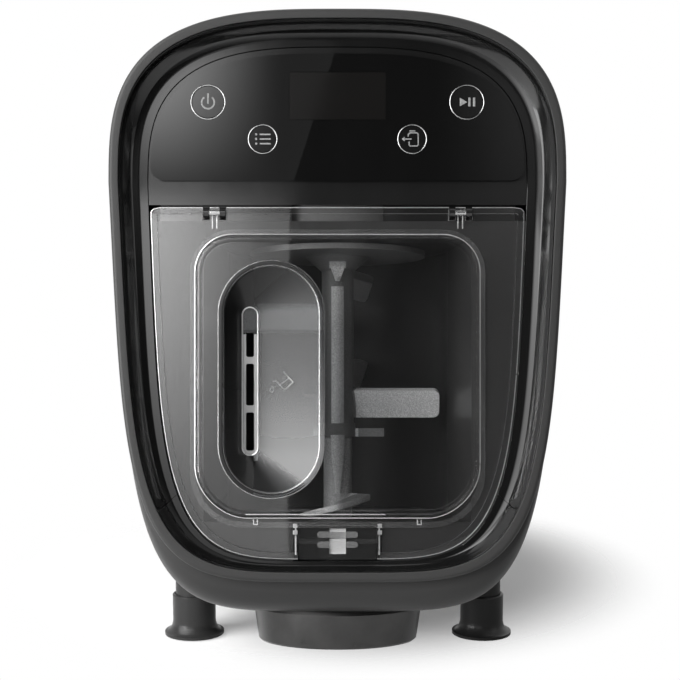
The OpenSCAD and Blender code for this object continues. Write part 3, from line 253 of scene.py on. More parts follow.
# The head leans back, so its pieces are drawn in millimetres across (x), into
# (n) and up (w) its face, and then stood up by this one matrix.
LEAN = math.radians(8)
FACE_Y, FACE_Z = -0.1865, 0.1706
HEAD = Matrix.Translation((0, FACE_Y, FACE_Z)) @ Matrix.Rotation(-LEAN, 4, "X") @ Matrix.Scale(0.001, 4)
WIDEST = 115
SHAFT_DEPTH = 76
section_points = 224


def outline(half_w, up, down, taper, upper, lower):
    """Points of a rounded section, widest at one height, closing in towards its foot."""
    points = []
    for i in range(section_points):
        a = 2 * math.pi * i / section_points
        power = lower if math.sin(a) < 0 else upper
        t = abs(math.sin(a)) ** (2 / power)
        x = math.copysign(abs(math.cos(a)) ** (2 / power) * half_w, math.cos(a))
        points.append((x * (1 - taper * t), WIDEST - down * t) if math.sin(a) < 0 else (x, WIDEST + up * t))
    return points


def inset(section, d):
    """A section drawn in by d all round."""
    return [section[0] - d, section[1] - d, section[2] - d, *section[3:]]


def lookup(n, table):
    """A value read between the rows of a table of (depth, value)."""
    for (n0, v0), (n1, v1) in zip(table, table[1:]):
        if n <= n1:
            return v0 + (v1 - v0) * max(0, (n - n0) / (n1 - n0))
    return table[-1][1]


def skinned(rings, closed=True):
    """A skin drawn out from ring to ring. Closed joins the last to the first, else both ends get a face."""
    bm = bmesh.new()
    first = row = bmesh.ops.create_circle(bm, segments=len(rings[0]), radius=1)["verts"]
    loop = bm.edges[:]
    for ring in [*rings[1:], rings[0]] if closed else rings[1:]:
        if row is first:
            for vert, point in zip(row, rings[0]):
                vert.co = point
        drawn = set(bmesh.ops.extrude_edge_only(bm, edges=loop)["geom"])
        neighbours = [[edge.other_vert(vert) for edge in vert.link_edges] for vert in row]
        row = [next(vert for vert in near if vert in drawn) for near in neighbours]
        for vert, point in zip(row, ring):
            vert.co = point
        loop = [edge for edge in bm.edges if edge in drawn and drawn.issuperset(edge.verts)]
    if closed:
        bmesh.ops.weld_verts(bm, targetmap=dict(zip(row, first)))
    else:
        for end in ([edge for edge in bm.edges if set(edge.verts) <= set(first)], loop):
            bmesh.ops.contextual_create(bm, geom=end)
    bmesh.ops.recalc_face_normals(bm, faces=bm.faces)
    return bm


def level(points, depth):
    """Points (x, w) of the face's plane at a depth behind it."""
    return [(x, depth, w) for x, w in points]


def lofted(rings):
    """A closed skin through rings of (section, depth)."""
    return skinned([level(outline(*section), depth) for section, depth in rings])


def piece(name, bm, body, material, stands_for=(), sharp=32, frame_matrix=HEAD):
    """The finished mesh as an object that rides on its body."""
    bm.transform(frame_matrix)
    bmesh.ops.recalc_face_normals(bm, faces=bm.faces)
    for face in bm.faces:
        face.smooth = True
    for edge in bm.edges:
        edge.smooth = len(edge.link_faces) == 2 and edge.calc_face_angle(0) < math.radians(sharp)
    made = bpy.data.objects.new(name, bpy.data.meshes.new(name))
    bm.to_mesh(made.data)
    bm.free()
    stage.collection.objects.link(made)
    for coat in material if isinstance(material, list) else [material]:
        made.data.materials.append(coat)
    made.modifiers.new("evened", "WEIGHTED_NORMAL").keep_sharp = True
    if stands_for:
        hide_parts(*stands_for)
    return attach(made, body)


def cut(bm, *tools, finishes=()):
    """The mesh with each tool's volume taken away; finishes keeps apart the faces of each."""
    meshes = []
    for part in (bm, *tools):
        bmesh.ops.recalc_face_normals(part, faces=part.faces)
        mesh = bpy.data.meshes.new("cut")
        part.to_mesh(mesh)
        part.free()
        for coat in finishes:
            mesh.materials.append(coat)
        meshes.append(bpy.data.objects.new("cut", mesh))
        stage.collection.objects.link(meshes[-1])
    for tool in meshes[1:]:
        change = meshes[0].modifiers.new("cut", "BOOLEAN")
        change.object, change.operation, change.solver = tool, "DIFFERENCE", "EXACT"
    result = bmesh.new()
    result.from_object(meshes[0], bpy.context.evaluated_depsgraph_get())
    for old in meshes:
        bpy.data.objects.remove(old)
    return result


def rod(radius, low, high, steps=96):
    """A plug along the height of the head."""
    bm = bmesh.new()
    bmesh.ops.create_cone(
        bm, cap_ends=True, segments=steps, radius1=radius, radius2=radius, depth=high - low,
        matrix=Matrix.Translation((0, 0, (low + high) / 2)),
    )
    return bm


# A section's half width, its rise and drop from the widest height, its taper,
# and the powers that square its upper and lower curves.
ring = [117.2, 88.8, 204.7, 0.088, 3, 4.8]
shell_wall = 3
chin_front, chin_end, body_end, rounding = 8, 28, 370, 45
round_from = body_end - rounding


def chin_rise(n):
    """How far the chin has swelled at a depth, from 0 to 1 along a quarter circle."""
    return math.sqrt(1 - (1 - min(1, max(0, (n - chin_front) / (chin_end - chin_front)))) ** 2)


def underside(n):
    """How far the level underside lies below the widest height, 40 mm over the floor."""
    return WIDEST - (40 - 1000 * FACE_Z) / math.cos(LEAN) - n * math.tan(LEAN)


def housing(n):
    """The housing's section at depth n behind the ring's front."""
    down = 203.5 + 19.5 * chin_rise(n)
    if n > chin_end:
        down = lookup(n, [(chin_end, 223), (100, underside(100)), (body_end, underside(body_end))])
    step = 1.2 * (1 - chin_rise(n))
    roof_fall = 24 * (n / body_end) ** 2
    taper = lookup(n, [(chin_end, 0.088), (100, 0.06), (150, 0.03), (200, 0.02)])
    foot = lookup(n, [(chin_end, 5), (100, 5.5), (150, 7), (200, 8)])
    past = min(1, max(0, n - round_from) / rounding)
    drawn_in = rounding * (1 - math.sqrt(1 - past ** 2))
    return inset([ring[0] - step, ring[1] - roof_fall - step, down, taper, 3, foot], drawn_in)


def on_shaft(bm):
    """Moves a mesh back to the line of the drive shaft."""
    bmesh.ops.translate(bm, verts=bm.verts, vec=(0, SHAFT_DEPTH, 0))
    return bm


def grained(name, tone, grain=0.09, rough=0.52, scuff=0.5):
    """Matt moulded plastic: fine spark grain, faint flow marks and light scuffs."""
    coat = finish(name)
    place = coat.where()
    flow = coat.noise(place, 7, 4)
    speck = coat.noise(place, 2600, 2)
    marks = coat.noise(coat.where((1, 1, 0.25), (0.4, 0.9, 0.2)), 240, 5, 0.7).rising(0.62, 0.78)
    colour = coat.blend(flow, grey(tone * 0.9), grey(tone * 1.12, 0.01))
    colour = coat.blend(marks * (0.16 * scuff), colour, grey(tone * 2.4))
    dullness = (rough + 0.12 * (flow - 0.5) - 0.1 * marks).clamped()
    finely_pitted = {"Specular IOR Level": 0.22, "Normal": coat.bump(speck, grain, 0.0004)}
    return coat.surface(coat.plastic(colour, dullness, finely_pitted))


lip_width, lip_depth = 2.2, 2.6
lip = [math.radians(a) for a in range(0, 91, 15)]
front_skin = [
    (inset(ring, lip_width - lip_width * math.sin(a)), lip_depth - lip_depth * math.cos(a)) for a in lip
]
front_skin += [(ring, 6.9), (inset(ring, 0.25), 7.5), (inset(ring, 1.2), 8)]
front_depths = [9, 10, 11, 12.5, 14, 16, 18.5, 21, 24, 28, 36, 50, 64, 82, 100, 115, 130]
front_skin += [(housing(n), n) for n in front_depths]
front_skin += [(inset(housing(n), shell_wall), n) for n in reversed(front_depths[1:])]
front_skin += [(inset(ring, d), n) for d, n in ((5.2, 8), (5.2, 0.5), (5.05, 0.15), (4.7, 0))]
outlet_hole = on_shaft(rod(47.6, -129.3, -95))
matt_black = grained("matt_black_abs", 0.032, rough=0.42)
front_shell = cut(lofted(front_skin), outlet_hole)
piece("front_shell", front_shell, "main_unit", matt_black, ["front_housing"])

# ---- Bezels ---------------------------------------------------------------
# The coved frame inside the ring: two high-gloss ABS mouldings that meet at a
# seam low on each side and run level into the flat face round the lid.
mouth = [98.8, 72.5, 195.3, 0.078, 3, 4.8]
band = inset(ring, 5.5)
cove = [
    (0, 0.8), (0.01, 0.95), (0.025, 4), (0.045, 7.2), (0.07, 10), (0.1, 12), (0.13, 12.8), (0.16, 13.15),
    (0.2, 13.4), (0.27, 13.76), (0.35, 14.12), (0.43, 14.42), (0.5, 14.65), (0.56, 14.81), (0.61, 14.91),
    (0.65, 14.97), (0.69, 15), (0.9, 15),
]
cove_back = ((0.72, 17.2), (0.5, 15.7), (0.28, 12.9), (0, 8.2))


def between(a, b, t):
    """A section part of the way from one to another."""
    return [p + (q - p) * t for p, q in zip(a, b)]


def glossed(name, tone, rough=0.07, smear=0.05, peel=0.012, mirrored=0.55):
    """Polished plastic: a hair of orange peel and faint wipe marks."""
    coat = finish(name)
    place = coat.where()
    wiped = coat.noise(coat.where((1, 1, 0.35), (0.3, 0.2, 0.7)), 26, 6, 0.65).rising(0.35, 0.75)
    dust = coat.noise(place, 1400, 2).rising(0.74, 0.8)
    wiped_tone = coat.blend(wiped, grey(tone * 0.85), grey(tone * 1.15))
    peeled = {"Specular IOR Level": mirrored, "Normal": coat.bump(coat.noise(place, 160, 2), peel, 0.0006)}
    dusty = coat.blend(dust * 0.12, wiped_tone, grey(0.12))
    return coat.surface(coat.plastic(dusty, rough + smear * wiped + 0.2 * dust, peeled))


def all_of(bm):
    return bm.verts[:] + bm.edges[:] + bm.faces[:]


def edges_of(geom):
    return [part for part in geom if isinstance(part, bmesh.types.BMEdge)]


def halved(bm, point, normal):
    """Cuts away what lies behind a plane, and gives the cut's edges."""
    return edges_of(bmesh.ops.bisect_plane(
        bm, geom=all_of(bm), plane_co=point, plane_no=normal, clear_inner=True)["geom_cut"])


frame_skin = [(between(band, mouth, t), n) for t, n in cove]
frame_skin += [(inset(mouth, -0.15), 15), (mouth, 15.15), (mouth, 17.2)]
frame_skin += [(between(band, mouth, t), n) for t, n in cove_back]
gloss_black = glossed("gloss_black_abs", 0.006, mirrored=0.5)
seam_x, seam_w = 84.6, -46.3
seam_normal = Vector((0.9, 0, 1)).normalized()
for name, away, gap in (("upper_bezel", 1, 0), ("lower_bezel", -1, 0.3)):
    half = lofted(frame_skin)
    halved(half, (0, 0, 0), (1, 0, 0))
    bmesh.ops.contextual_create(half, geom=halved(half, (seam_x, 0, seam_w - gap), seam_normal * away))
    bmesh.ops.mirror(half, geom=all_of(half), axis="X", merge_dist=0.001)
    bmesh.ops.remove_doubles(half, verts=half.verts, dist=0.001)
    piece(name + "_gloss", half, "main_unit", gloss_black, [name])

# ---- Face plate, control panel and display --------------------------------
# A satin-gloss ABS plate over the lid holds a D-shaped panel of black acrylic,
# bonded at its edge, with the display's tinted window set flush in it.
def dress(material, *nodes):
    """A new finish for nodes that keep their own mesh."""
    for node in nodes:
        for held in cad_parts[node].material_slots:
            held.material = material


dress(glossed("satin_black_abs", 0.008, 0.085, 0.04), "face_plate")
dress(glossed("black_acrylic", 0.003, 0.012, 0.012, 0.003), "control_panel")
tint = finish("display_window_tint")
haze = tint.noise(tint.where(), 18, 3)
brown_black = tint.blend(haze, (0.0042, 0.004, 0.0038, 1), (0.0065, 0.0061, 0.0058, 1))
ripple = tint.bump(tint.noise(tint.where(), 900, 2), 0.015, 0.0004)
tint.surface(tint.plastic(brown_black, 0.05 + 0.05 * haze, {"Normal": ripple}))
dress(tint.owner, "display_window")

# ---- Buttons --------------------------------------------------------------
# Four gloss caps in thin bright rings, each with a pad-printed sign of its own:
# power, play and pause, a list, and a jar being emptied.
caps = {
    "power_button": (-67.2, 158.3), "play_pause_button": (67.2, 158.3),
    "menu_button": (-38.8, 139.1), "extrude_button": (38.8, 139.1),
}
cap_front = 12.98
dress(glossed("button_gloss_black", 0.006, 0.04, 0.03), *caps)


def metal(name, tone, rough, streak=(1, 1, 1), warm=0.0, wear=0.3, turn=(0, 0, 0)):
    """Bare or plated metal with fine directional marks and dull patches."""
    coat = finish(name)
    lines = coat.noise(coat.where(streak, turn), 900, 3, 0.6)
    dull = coat.noise(coat.where(), 60, 5, 0.65)
    colour = coat.blend(dull, grey(tone * (1 - wear), warm), grey(tone, warm))
    polish = (rough + 0.25 * wear * (dull - 0.4) + 0.12 * (lines - 0.5)).clamped()
    marked = {"Metallic": 1.0, "Normal": coat.bump(lines, 0.06, 0.0003)}
    return coat.surface(coat.plastic(colour, polish, marked))


def joined(*parts):
    """Several meshes as one."""
    whole = bmesh.new()
    for part in parts:
        mesh = bpy.data.meshes.new("part")
        part.to_mesh(mesh)
        part.free()
        whole.from_mesh(mesh)
    return whole


def trim_ring(x, w, r):
    """A thin pressed ring with a rolled front edge."""
    profile = [
        (r - 0.55, 14.9), (r - 0.55, 13.02), (r - 0.48, 12.9), (r - 0.28, 12.82),
        (r - 0.08, 12.9), (r, 13.02), (r, 14.9),
    ]
    turns = [math.pi * i / 48 for i in range(96)]
    return skinned([[(x + q * math.cos(a), n, w + q * math.sin(a)) for a in turns] for q, n in profile])


bright_chrome = metal("bright_chrome", 0.55, 0.16)
trims = joined(*(trim_ring(x, w, 9.1 if abs(x) > 50 else 7.7) for x, w in caps.values()))
piece("button_trims", trims, "main_unit", bright_chrome, ["button_rings"], 60)
ink = finish("grey_ink")
worn = ink.noise(ink.where(), 1500, 3)
ink_tone = ink.blend(worn.rising(0.3, 0.7), grey(0.17), grey(0.26))
ink.surface(ink.plastic(ink_tone, 0.45 + 0.15 * worn, {"Normal": ink.bump(worn, 0.05, 0.0002)}))


def printed(name, body, lines, width, depth, at=(0, 0), dots=()):
    """A print of thin lines and round or pointed spots, laid on a face whose depth is given across it."""
    path = bpy.data.curves.new(name, "CURVE")
    path.dimensions, path.use_fill_caps = "3D", True
    path.bevel_depth, path.bevel_resolution = width / 2, 2
    for line in lines:
        closed = line[0] == line[-1]
        drawn = path.splines.new("POLY")
        drawn.points.add(len(line) - 1 - closed)
        drawn.use_cyclic_u = closed
        for point, (x, w) in zip(drawn.points, line):
            point.co = (at[0] + x, 0, at[1] + w, 1)
    mark = bmesh.new()
    mark.from_mesh(bpy.data.meshes.new_from_object(bpy.data.objects.new("line", path)))
    facing = Matrix.Rotation(math.pi / 2, 4, "Y") @ Matrix.Rotation(math.pi / 2, 4, "X")
    for x, w, r, sides in dots:
        bmesh.ops.create_cone(
            mark, cap_ends=True, segments=sides, radius1=r, radius2=r * 0.92, depth=width,
            matrix=Matrix.Translation((at[0] + x, 0, at[1] + w)) @ facing,
        )
    flattened = 0.12
    for vert in mark.verts:
        vert.co.y = depth(vert.co.x) + vert.co.y * flattened
    piece(name, mark, body, ink.owner)


def bow(x, w, r, start, end, steps=20):
    """Points of an arc, in degrees."""
    turns = [math.radians(start + (end - start) * i / steps) for i in range(steps + 1)]
    return [(x + r * math.cos(a), w + r * math.sin(a)) for a in turns]


def cap_face(x):
    """The caps are flat."""
    return cap_front


power_mark = [bow(0, -0.2, 3.3, 127, 413), [(0, -0.9), (0, 4.5)]]
printed("power_sign", "power_button_body", power_mark, 0.85, cap_face, caps["power_button"])
pause_bars = [[(1.3, -2.3), (1.3, 2.3)], [(3.7, -2.3), (3.7, 2.3)]]
play_arrow = [(-2.4, 0, 2.7, 3)]
printed(
    "play_pause_sign", "play_pause_button_body", pause_bars, 1.2, cap_face, caps["play_pause_button"],
    play_arrow,
)
list_rows = (2.4, 0, -2.4)
list_lines = [[(-1.6, w), (4.1, w)] for w in list_rows]
list_dots = [(-3.4, w, 0.62, 16) for w in list_rows]
printed("list_sign", "menu_button_body", list_lines, 0.75, cap_face, caps["menu_button"], list_dots)
jar = [
    (-2.1, 1.3), (-2.1, 2.4), (-1.2, 3.2), (2.5, 3.2), (3.1, 2.6), (3.1, -3.0), (2.5, -3.6), (-1.1, -3.6),
    (-1.6, -3.0), (-1.6, -1.3),
]
jar_top = [(-1.4, 4.2), (1.6, 4.2)]
arrow = [[(-0.4, 0), (-5.0, 0)], [(-3.9, 0.9), (-5.1, 0), (-3.9, -0.9)]]
printed("jar_sign", "extrude_button_body", [jar, jar_top, *arrow], 0.62, cap_face, caps["extrude_button"])

# ---- Lid ------------------------------------------------------------------
# One clear polycarbonate moulding on two hinge knuckles: a plate with a raised
# window, a stepped rim, two ribs, and rails that guide the latch.
middle_w = 12
lid_half, lid_top = 97.9, 104
corner_steps = 14
hinge_n, hinge_w, hinge_x = 15.5, 101.2, 64
plate_front, plate_back, window_front = 13.5, 16, 10.5


def clear(name, tone=0.93, haze=0.004, rough=0.015, milk=0.4, dust=0.012):
    """Clear plastic: it lets the view through, mirrors more at a slant, and holds a little haze."""
    coat = finish(name)
    slant = coat.node("ShaderNodeLayerWeight", {}, {"Blend": 0.5}, out=1)
    wiped = coat.noise(coat.where((1, 1, 0.4), (0.2, 0.1, 0.5)), 30, 2, 0.5)
    cloudy = coat.plastic(coat.blend(wiped, grey(milk * 0.8), grey(milk)), 0.5)
    hazy = (haze + dust * wiped.rising(0.5, 0.8)).clamped()
    sheet = coat.mix(hazy, coat.see_through(grey(tone)), cloudy)
    ripple = coat.bump(coat.noise(coat.where(), 90, 2), 0.012, 0.0005)
    mirror = coat.plastic(grey(0.96), rough + 0.02 * wiped, {"Metallic": 1.0, "Normal": ripple})
    return coat.surface(coat.mix(0.045 + 0.95 * slant ** 5, sheet, mirror))


def rounded(x0, x1, w0, w1, low, high, steps=corner_steps):
    """Points of a rectangle with round corners."""
    return (
        bow(x1 - low, w0 + low, low, -90, 0, steps) + bow(x1 - high, w1 - high, high, 0, 90, steps)
        + bow(x0 + high, w1 - high, high, 90, 180, steps) + bow(x0 + low, w0 + low, low, 180, 270, steps)
    )


def spread(shape, angles):
    """How far a ray at each angle goes from the lid's centre to the shape's edge."""
    spots = sorted((math.atan2(w - middle_w, x), x, w - middle_w) for x, w in shape)
    turn = 2 * math.pi
    spots = [(spots[-1][0] - turn, *spots[-1][1:])] + spots + [(spots[0][0] + turn, *spots[0][1:])]
    reach, i = [], 0
    for a in angles:
        while spots[i + 1][0] < a:
            i += 1
        (_, x0, w0), (_, x1, w1) = spots[i], spots[i + 1]
        reach.append((x0 * (w1 - w0) - w0 * (x1 - x0)) / (math.cos(a) * (w1 - w0) - math.sin(a) * (x1 - x0)))
    return reach


def plate_edge(d):
    """The lid's outline, drawn in by d: the mouth's curve, and a straight top with small corners."""
    straight_top = rounded(d - lid_half, lid_half - d, -95, lid_top - d, 1, max(1, 5 - d))
    return outline(*inset(mouth, 0.9 + d)), straight_top


def window_edge(d):
    """The window's outline, its foot bowed down in the middle."""
    half = 74
    points = []
    for x, w in rounded(d - half, half - d, d - 59.9, 89.6 - d, 25.3 - d, 19.3 - d):
        lift = 5.5 * (x / half) ** 2 * min(1, max(0, (35 - w) / 90))
        points.append((x, w + lift))
    return points


# Every ring of the lid has its points on the same bearings, so that a corner of
# any outline stays sharp.
lid_points = [*plate_edge(0)[0], *plate_edge(0)[1], *window_edge(0)]
lid_corners = sorted(math.atan2(w - middle_w, x) for x, w in lid_points if w < lid_top + 0.5)
bearings = [a for a, before in zip(lid_corners, [lid_corners[0] - 1] + lid_corners) if a - before > 0.004]


def lid_ring(*shapes, depth):
    """A ring at a depth, on the nearer of the shapes' edges at each bearing."""
    reaches = [min(each) for each in zip(*(spread(shape, bearings) for shape in shapes))]
    return [(r * math.cos(a), depth, middle_w + r * math.sin(a)) for a, r in zip(bearings, reaches)]


inside = ((4.6, 13), (3.9, 13.2), (2.8, 15.6), (2.3, plate_back))
rim = (
    (0.2, plate_back), (0, 15.8), (0, 14.5), (0.15, 14.15), (0.55, 14), (3.2, 14), (3.45, 13.9), (3.6, 13.65),
    (3.8, plate_front),
)
raised = (
    (-0.35, plate_front), (-0.05, 13.42), (0.3, 13.15), (1.5, 11.1), (1.75, 10.75), (2.1, 10.56),
    (2.6, window_front),
)
# The rings of the lid whose strips take the painted highlight.
bright_strips = (6, 7, 10, 13, 14)
lid_skin = [lid_ring(window_edge(d), depth=n) for d, n in inside]
lid_skin += [lid_ring(*plate_edge(d), depth=n) for d, n in rim]
lid_skin += [lid_ring(window_edge(d), depth=n) for d, n in raised]


def highlight_strips(bm, row, strips):
    """Gives the strips between these rings of a skin the second finish, the painted highlight."""
    for count, face in enumerate(bm.faces):
        face.material_index = int(count // row in strips)
    return bm


def softened(bm, offset):
    """Takes the sharpness off every edge."""
    bmesh.ops.bevel(bm, geom=bm.edges[:], offset=offset, affect="EDGES", segments=2, profile=0.5, material=-1)
    return bm


def block(x0, x1, n0, n1, w0, w1, soft=0.15):
    """A small moulded rib or bar with softened edges, all in the second finish, the painted highlight."""
    bm = bmesh.new()
    size, middle = (x1 - x0, n1 - n0, w1 - w0), ((x0 + x1) / 2, (n0 + n1) / 2, (w0 + w1) / 2)
    bmesh.ops.create_cube(bm, size=1, matrix=Matrix.Translation(middle) @ Matrix.Diagonal((*size, 1)))
    for face in softened(bm, soft).faces:
        face.material_index = 1
    return bm


def beside(side, near, far, n0, n1, w0, w1):
    """A thin rib at one side of the middle, 1 or -1."""
    low, high = sorted((side * near, side * far))
    return block(low, high, n0, n1, w0, w1, 0.1)


def stadium(x, r, top, bottom, d=0, steps=28):
    """A slot with round ends, grown by d."""
    return bow(x, top - r, r + d, 0, 180, steps) + bow(x, bottom + r, r + d, 180, 360, steps)


def prism(points, n0, n1):
    """A plug of one outline through the face."""
    return skinned([level(points, n0), level(points, n1)], closed=False)


funnel_mouth = (-34.25, 26.35, 74.8, -46.2)
latch_gap = block(-20.6, 20.6, 9, 20, -90, -61.6, 0.3)
cuts = [prism(stadium(*funnel_mouth, 0.15), 5, 20), latch_gap]
knuckles = []
knuckle_r, knuckle_half, ear_half = 2.6, 2.5, 1.8
ear_x = knuckle_half + ear_half
for side in (-hinge_x, hinge_x):
    for ear in (side - ear_x, side + ear_x):
        cuts.append(block(ear - ear_half, ear + ear_half, 10, 20, 97, 110))
    knuckle = softened(rod(knuckle_r, side - knuckle_half, side + knuckle_half, 40), 0.2)
    knuckle.transform(Matrix.Translation((0, hinge_n, hinge_w)) @ Matrix.Rotation(math.pi / 2, 4, "Y"))
    knuckles.append(knuckle)
    for rib in (side - 1.2, side + 1.2):
        knuckles.append(block(rib - 0.3, rib + 0.3, 15.9, 16.8, 93, 99.5, 0.1))
rails = []
for side in (-1, 1):
    rails.append(beside(side, 21.4, 22.2, 15.9, 17.1, -77, -62.5))
    rails += [beside(side, 20.9, 23.2, 15.9, 17.1, w, w + 2.2) for w in (-66.5, -63)]
    rails.append(beside(side, 41.4, 44, 15.9, 16.8, -61.5, -60.9))
    rails += [beside(side, near, near + 0.6, 15.9, 16.8, -61, -58.6) for near in (41.4, 43.4)]
rails.append(block(-48, 25, 15.95, 16.5, -56.3, -55.7, 0.1))


def in_head(coat):
    """The place across, into and up the leaning face, in millimetres."""
    x, y, z = coat.axes(coat.where())
    y, z = y - FACE_Y, z - FACE_Z
    cosine, sine = 1000 * math.cos(LEAN), 1000 * math.sin(LEAN)
    return x * 1000, y * cosine - z * sine, y * sine + z * cosine


# Painted highlight: the bevel strips of the lid and the bowl, and the lid's small ribs and rails, are part
# opaque pale grey and part metal mirror, more so at the lid's rim and lower down, so they show as bright
# lines.
edge_highlight = finish("edge_highlight")
patchy = edge_highlight.noise(edge_highlight.where(), 500, 3)
_, n, w = in_head(edge_highlight)
at_lid_rim = n.rising(13.1, 13.4)
low_down = 1 - w.rising(-30, 20)
highlight_grey = edge_highlight.plastic(edge_highlight.blend(patchy, grey(0.3), grey(0.4)), 0.4)
shine = edge_highlight.plastic(grey(0.95), 0.24 + 0.1 * patchy, {"Metallic": 1.0})
lit_edge = edge_highlight.mix(0.7 + 0.1 * patchy, highlight_grey, shine)
lit_share = 0.17 + 0.4 * at_lid_rim + 0.1 * low_down + 0.1 * patchy
edge_highlight.surface(edge_highlight.mix(lit_share, edge_highlight.see_through(grey(0.93)), lit_edge))
lid_finishes = [clear("clear_polycarbonate"), edge_highlight.owner]
lid_plate = highlight_strips(skinned(lid_skin, closed=False), len(bearings), bright_strips)
lid_moulding = joined(cut(lid_plate, *cuts, finishes=lid_finishes), *knuckles, *rails)
piece("clear_lid_moulding", lid_moulding, "lid", lid_finishes, ["lid_shell"], 25)

# ---- Lid seal -------------------------------------------------------------
# A soft silicone cord in the lid's back, round the window, that presses on the
# chamber's flange. It is pale and half clear, so it hardly shows.
dress(clear("clear_silicone", 0.82, 0.06, 0.25, 0.35, 0.1), "lid_seal")

# ---- Water funnel ---------------------------------------------------------
# A smoke-tinted bowl welded in the window: its sides close in on a narrow
# slot with two bars, where water runs in, and a jug sign is moulded in one side.
slot = (-46.2, 3.6, 52.2, -25)
slot_ends = (-23, 39.2)
bar_places, bar_half = (-0.98, 24.64), 1.8


def bowl_ring(d, n, end=funnel_mouth):
    """A ring of the bowl at depth n, round the mouth or the slot and grown by d."""
    return level(stadium(*end, d), n)


foot_back = [(0, 26), (0, 25.2), (0.25, 24.85), (0.7, 24.6)]
mouth_rim = [
    (-2, 13.2), (-1.8, 12.6), (-1.8, 10.3), (-1.65, 9.95), (-1.3, 9.75), (-0.9, 9.7),
    (0.9, 9.7), (1.25, 9.85), (1.4, 10.2), (1.4, 10.4), (0, 10.4), (0, 14),
]
bowl = [bowl_ring(d, n, slot) for d, n in foot_back] + [bowl_ring(d, n) for d, n in mouth_rim]
bowl += [bowl_ring(d, n, slot) for d, n in ((1.8, 26.2), (1.6, 27.6))]
bars_low, bars_high = ((place - bar_half, place + bar_half) for place in bar_places)
openings = [(slot_ends[0], bars_low[0]), (bars_low[1], bars_high[0]), (bars_high[1], slot_ends[1])]
slots = [prism(rounded(-48.3, -44.1, w0, w1, 1.1, 1.1, 5), 22, 30) for w0, w1 in openings]

# Painted shade makes the left side and the top corner near black and opaque, and darkens the upper part; a
# painted sheen lightens the right side towards its foot; the bars across the slot are bare.
smoke = finish("smoke_funnel")
x, n, w = in_head(smoke)
flow = smoke.noise(smoke.where((1, 1, 0.3)), 40, 3)
right_side = x.rising(-44, -43)
left_or_top = (1 - x.rising(-44.6, -43.4)).top((w - 0.87 * x - 95).rising(-1, 1))
left_top_shade = left_or_top * (1 - n.rising(24.7, 24.9))
# Painted sheen: the right side turns paler and less clear towards its foot.
painted_sheen = (1 - w.rising(-28, 44)) * right_side * (w + 0.69 * x + 56.7).rising(-2, 7)
bars = n.rising(24.9, 25.1) * (1 - w.rising(38, 39)) * (1 - x.rising(-42.2, -41.8))
top_shade = 0.26 * w.rising(6, 34) + 0.3 * w.rising(50, 56)
slant = smoke.node("ShaderNodeLayerWeight", {}, {"Blend": 0.5}, out=1)
bowl_tone = smoke.blend(bars, smoke.blend(painted_sheen, grey(0.006), grey(0.2)), grey(0.5))
fine_grain = smoke.bump(smoke.noise(smoke.where(), 1800, 2), 0.02, 0.0003)
satin = smoke.plastic(bowl_tone, 0.3 + 0.1 * flow, {"Specular IOR Level": 0.1, "Normal": fine_grain})
gloss = smoke.plastic(grey(0.9), 0.12 + 0.06 * flow + 0.25 * right_side, {"Metallic": 1.0})
tint_shade_and_sheen_share = 0.04 + 0.9 * left_top_shade + (0.5 + 0.1 * flow) * painted_sheen + 0.6 * bars + top_shade
body_of_bowl = smoke.mix(tint_shade_and_sheen_share.clamped(), smoke.see_through((0.8, 0.81, 0.82, 1)), satin)
smoke.surface(smoke.mix(0.022 + 0.9 * slant ** 5, body_of_bowl, gloss))
# The rounded edges of the bowl's mouth and slot take the painted highlight.
bowl_finishes = [smoke.owner, edge_highlight.owner]
bowl_skin = highlight_strips(skinned(bowl, closed=False), len(bowl[0]), (1, 2, 7, 10, 11))
slotted_bowl = cut(bowl_skin, *slots, finishes=bowl_finishes)
piece("smoke_funnel_bowl", slotted_bowl, "lid", bowl_finishes, ["water_funnel"], 25)


def bowl_side(x):
    """The depth of the bowl's sloping right side, less a hair."""
    return 12.7 + (-9.7 - x) * 0.404 - 0.3


jug = [
    [(1.7, 5.2), (5.0, 1.8)],
    [(-0.2, -1.9), (5.0, 1.8), (7.0, -0.3), (2.6, -4.3), (-0.4, -1.7), (-2.0, 0.4), (-4.0, -0.1)],
]
drop = [(-4.3, -2.2), (-5.5, -4.8), (-4.4, -5.8), (-3.3, -4.8), (-4.3, -2.2)]
printed("jug_sign", "lid", [*jug, drop], 0.75, bowl_side, (-30.2, 13.4))

# ---- Latch ----------------------------------------------------------------
# A clear rocking tab with two frosted finger ridges. Its nose hooks under a
# grey catch behind the lid, and a white spring leaf stands at its back.
tab = finish("smoke_latch")
n = in_head(tab)[1]
leaf = n.rising(16.3, 16.6)
ridge = 1 - n.rising(13.1, 13.4)
frost = tab.noise(tab.where(), 700, 3)
slant = tab.node("ShaderNodeLayerWeight", {}, {"Blend": 0.5}, out=1)
tab_tone, leaf_tone = tab.blend(frost, grey(0.3), grey(0.36)), tab.blend(frost, grey(0.52), grey(0.6))
solid = tab.plastic(tab.blend(leaf, tab_tone, leaf_tone), 0.35 + 0.1 * frost)
solid_share = leaf.top(0.3 * ridge).top(0.02)
mirror = tab.plastic(grey(0.95), 0.04 + 0.03 * frost, {"Metallic": 1.0})
body_of_tab = tab.mix(solid_share, tab.see_through(grey(0.9)), solid)
tab.surface(tab.mix(0.045 + 0.9 * slant ** 5, body_of_tab, mirror))
dress(tab.owner, "lid_latch")
dress(grained("catch_black", 0.01, 0.05, 0.6), "latch_catch")
dress(metal("pin_steel", 0.62, 0.24, (0.1, 1, 1)), "hinge_pins")

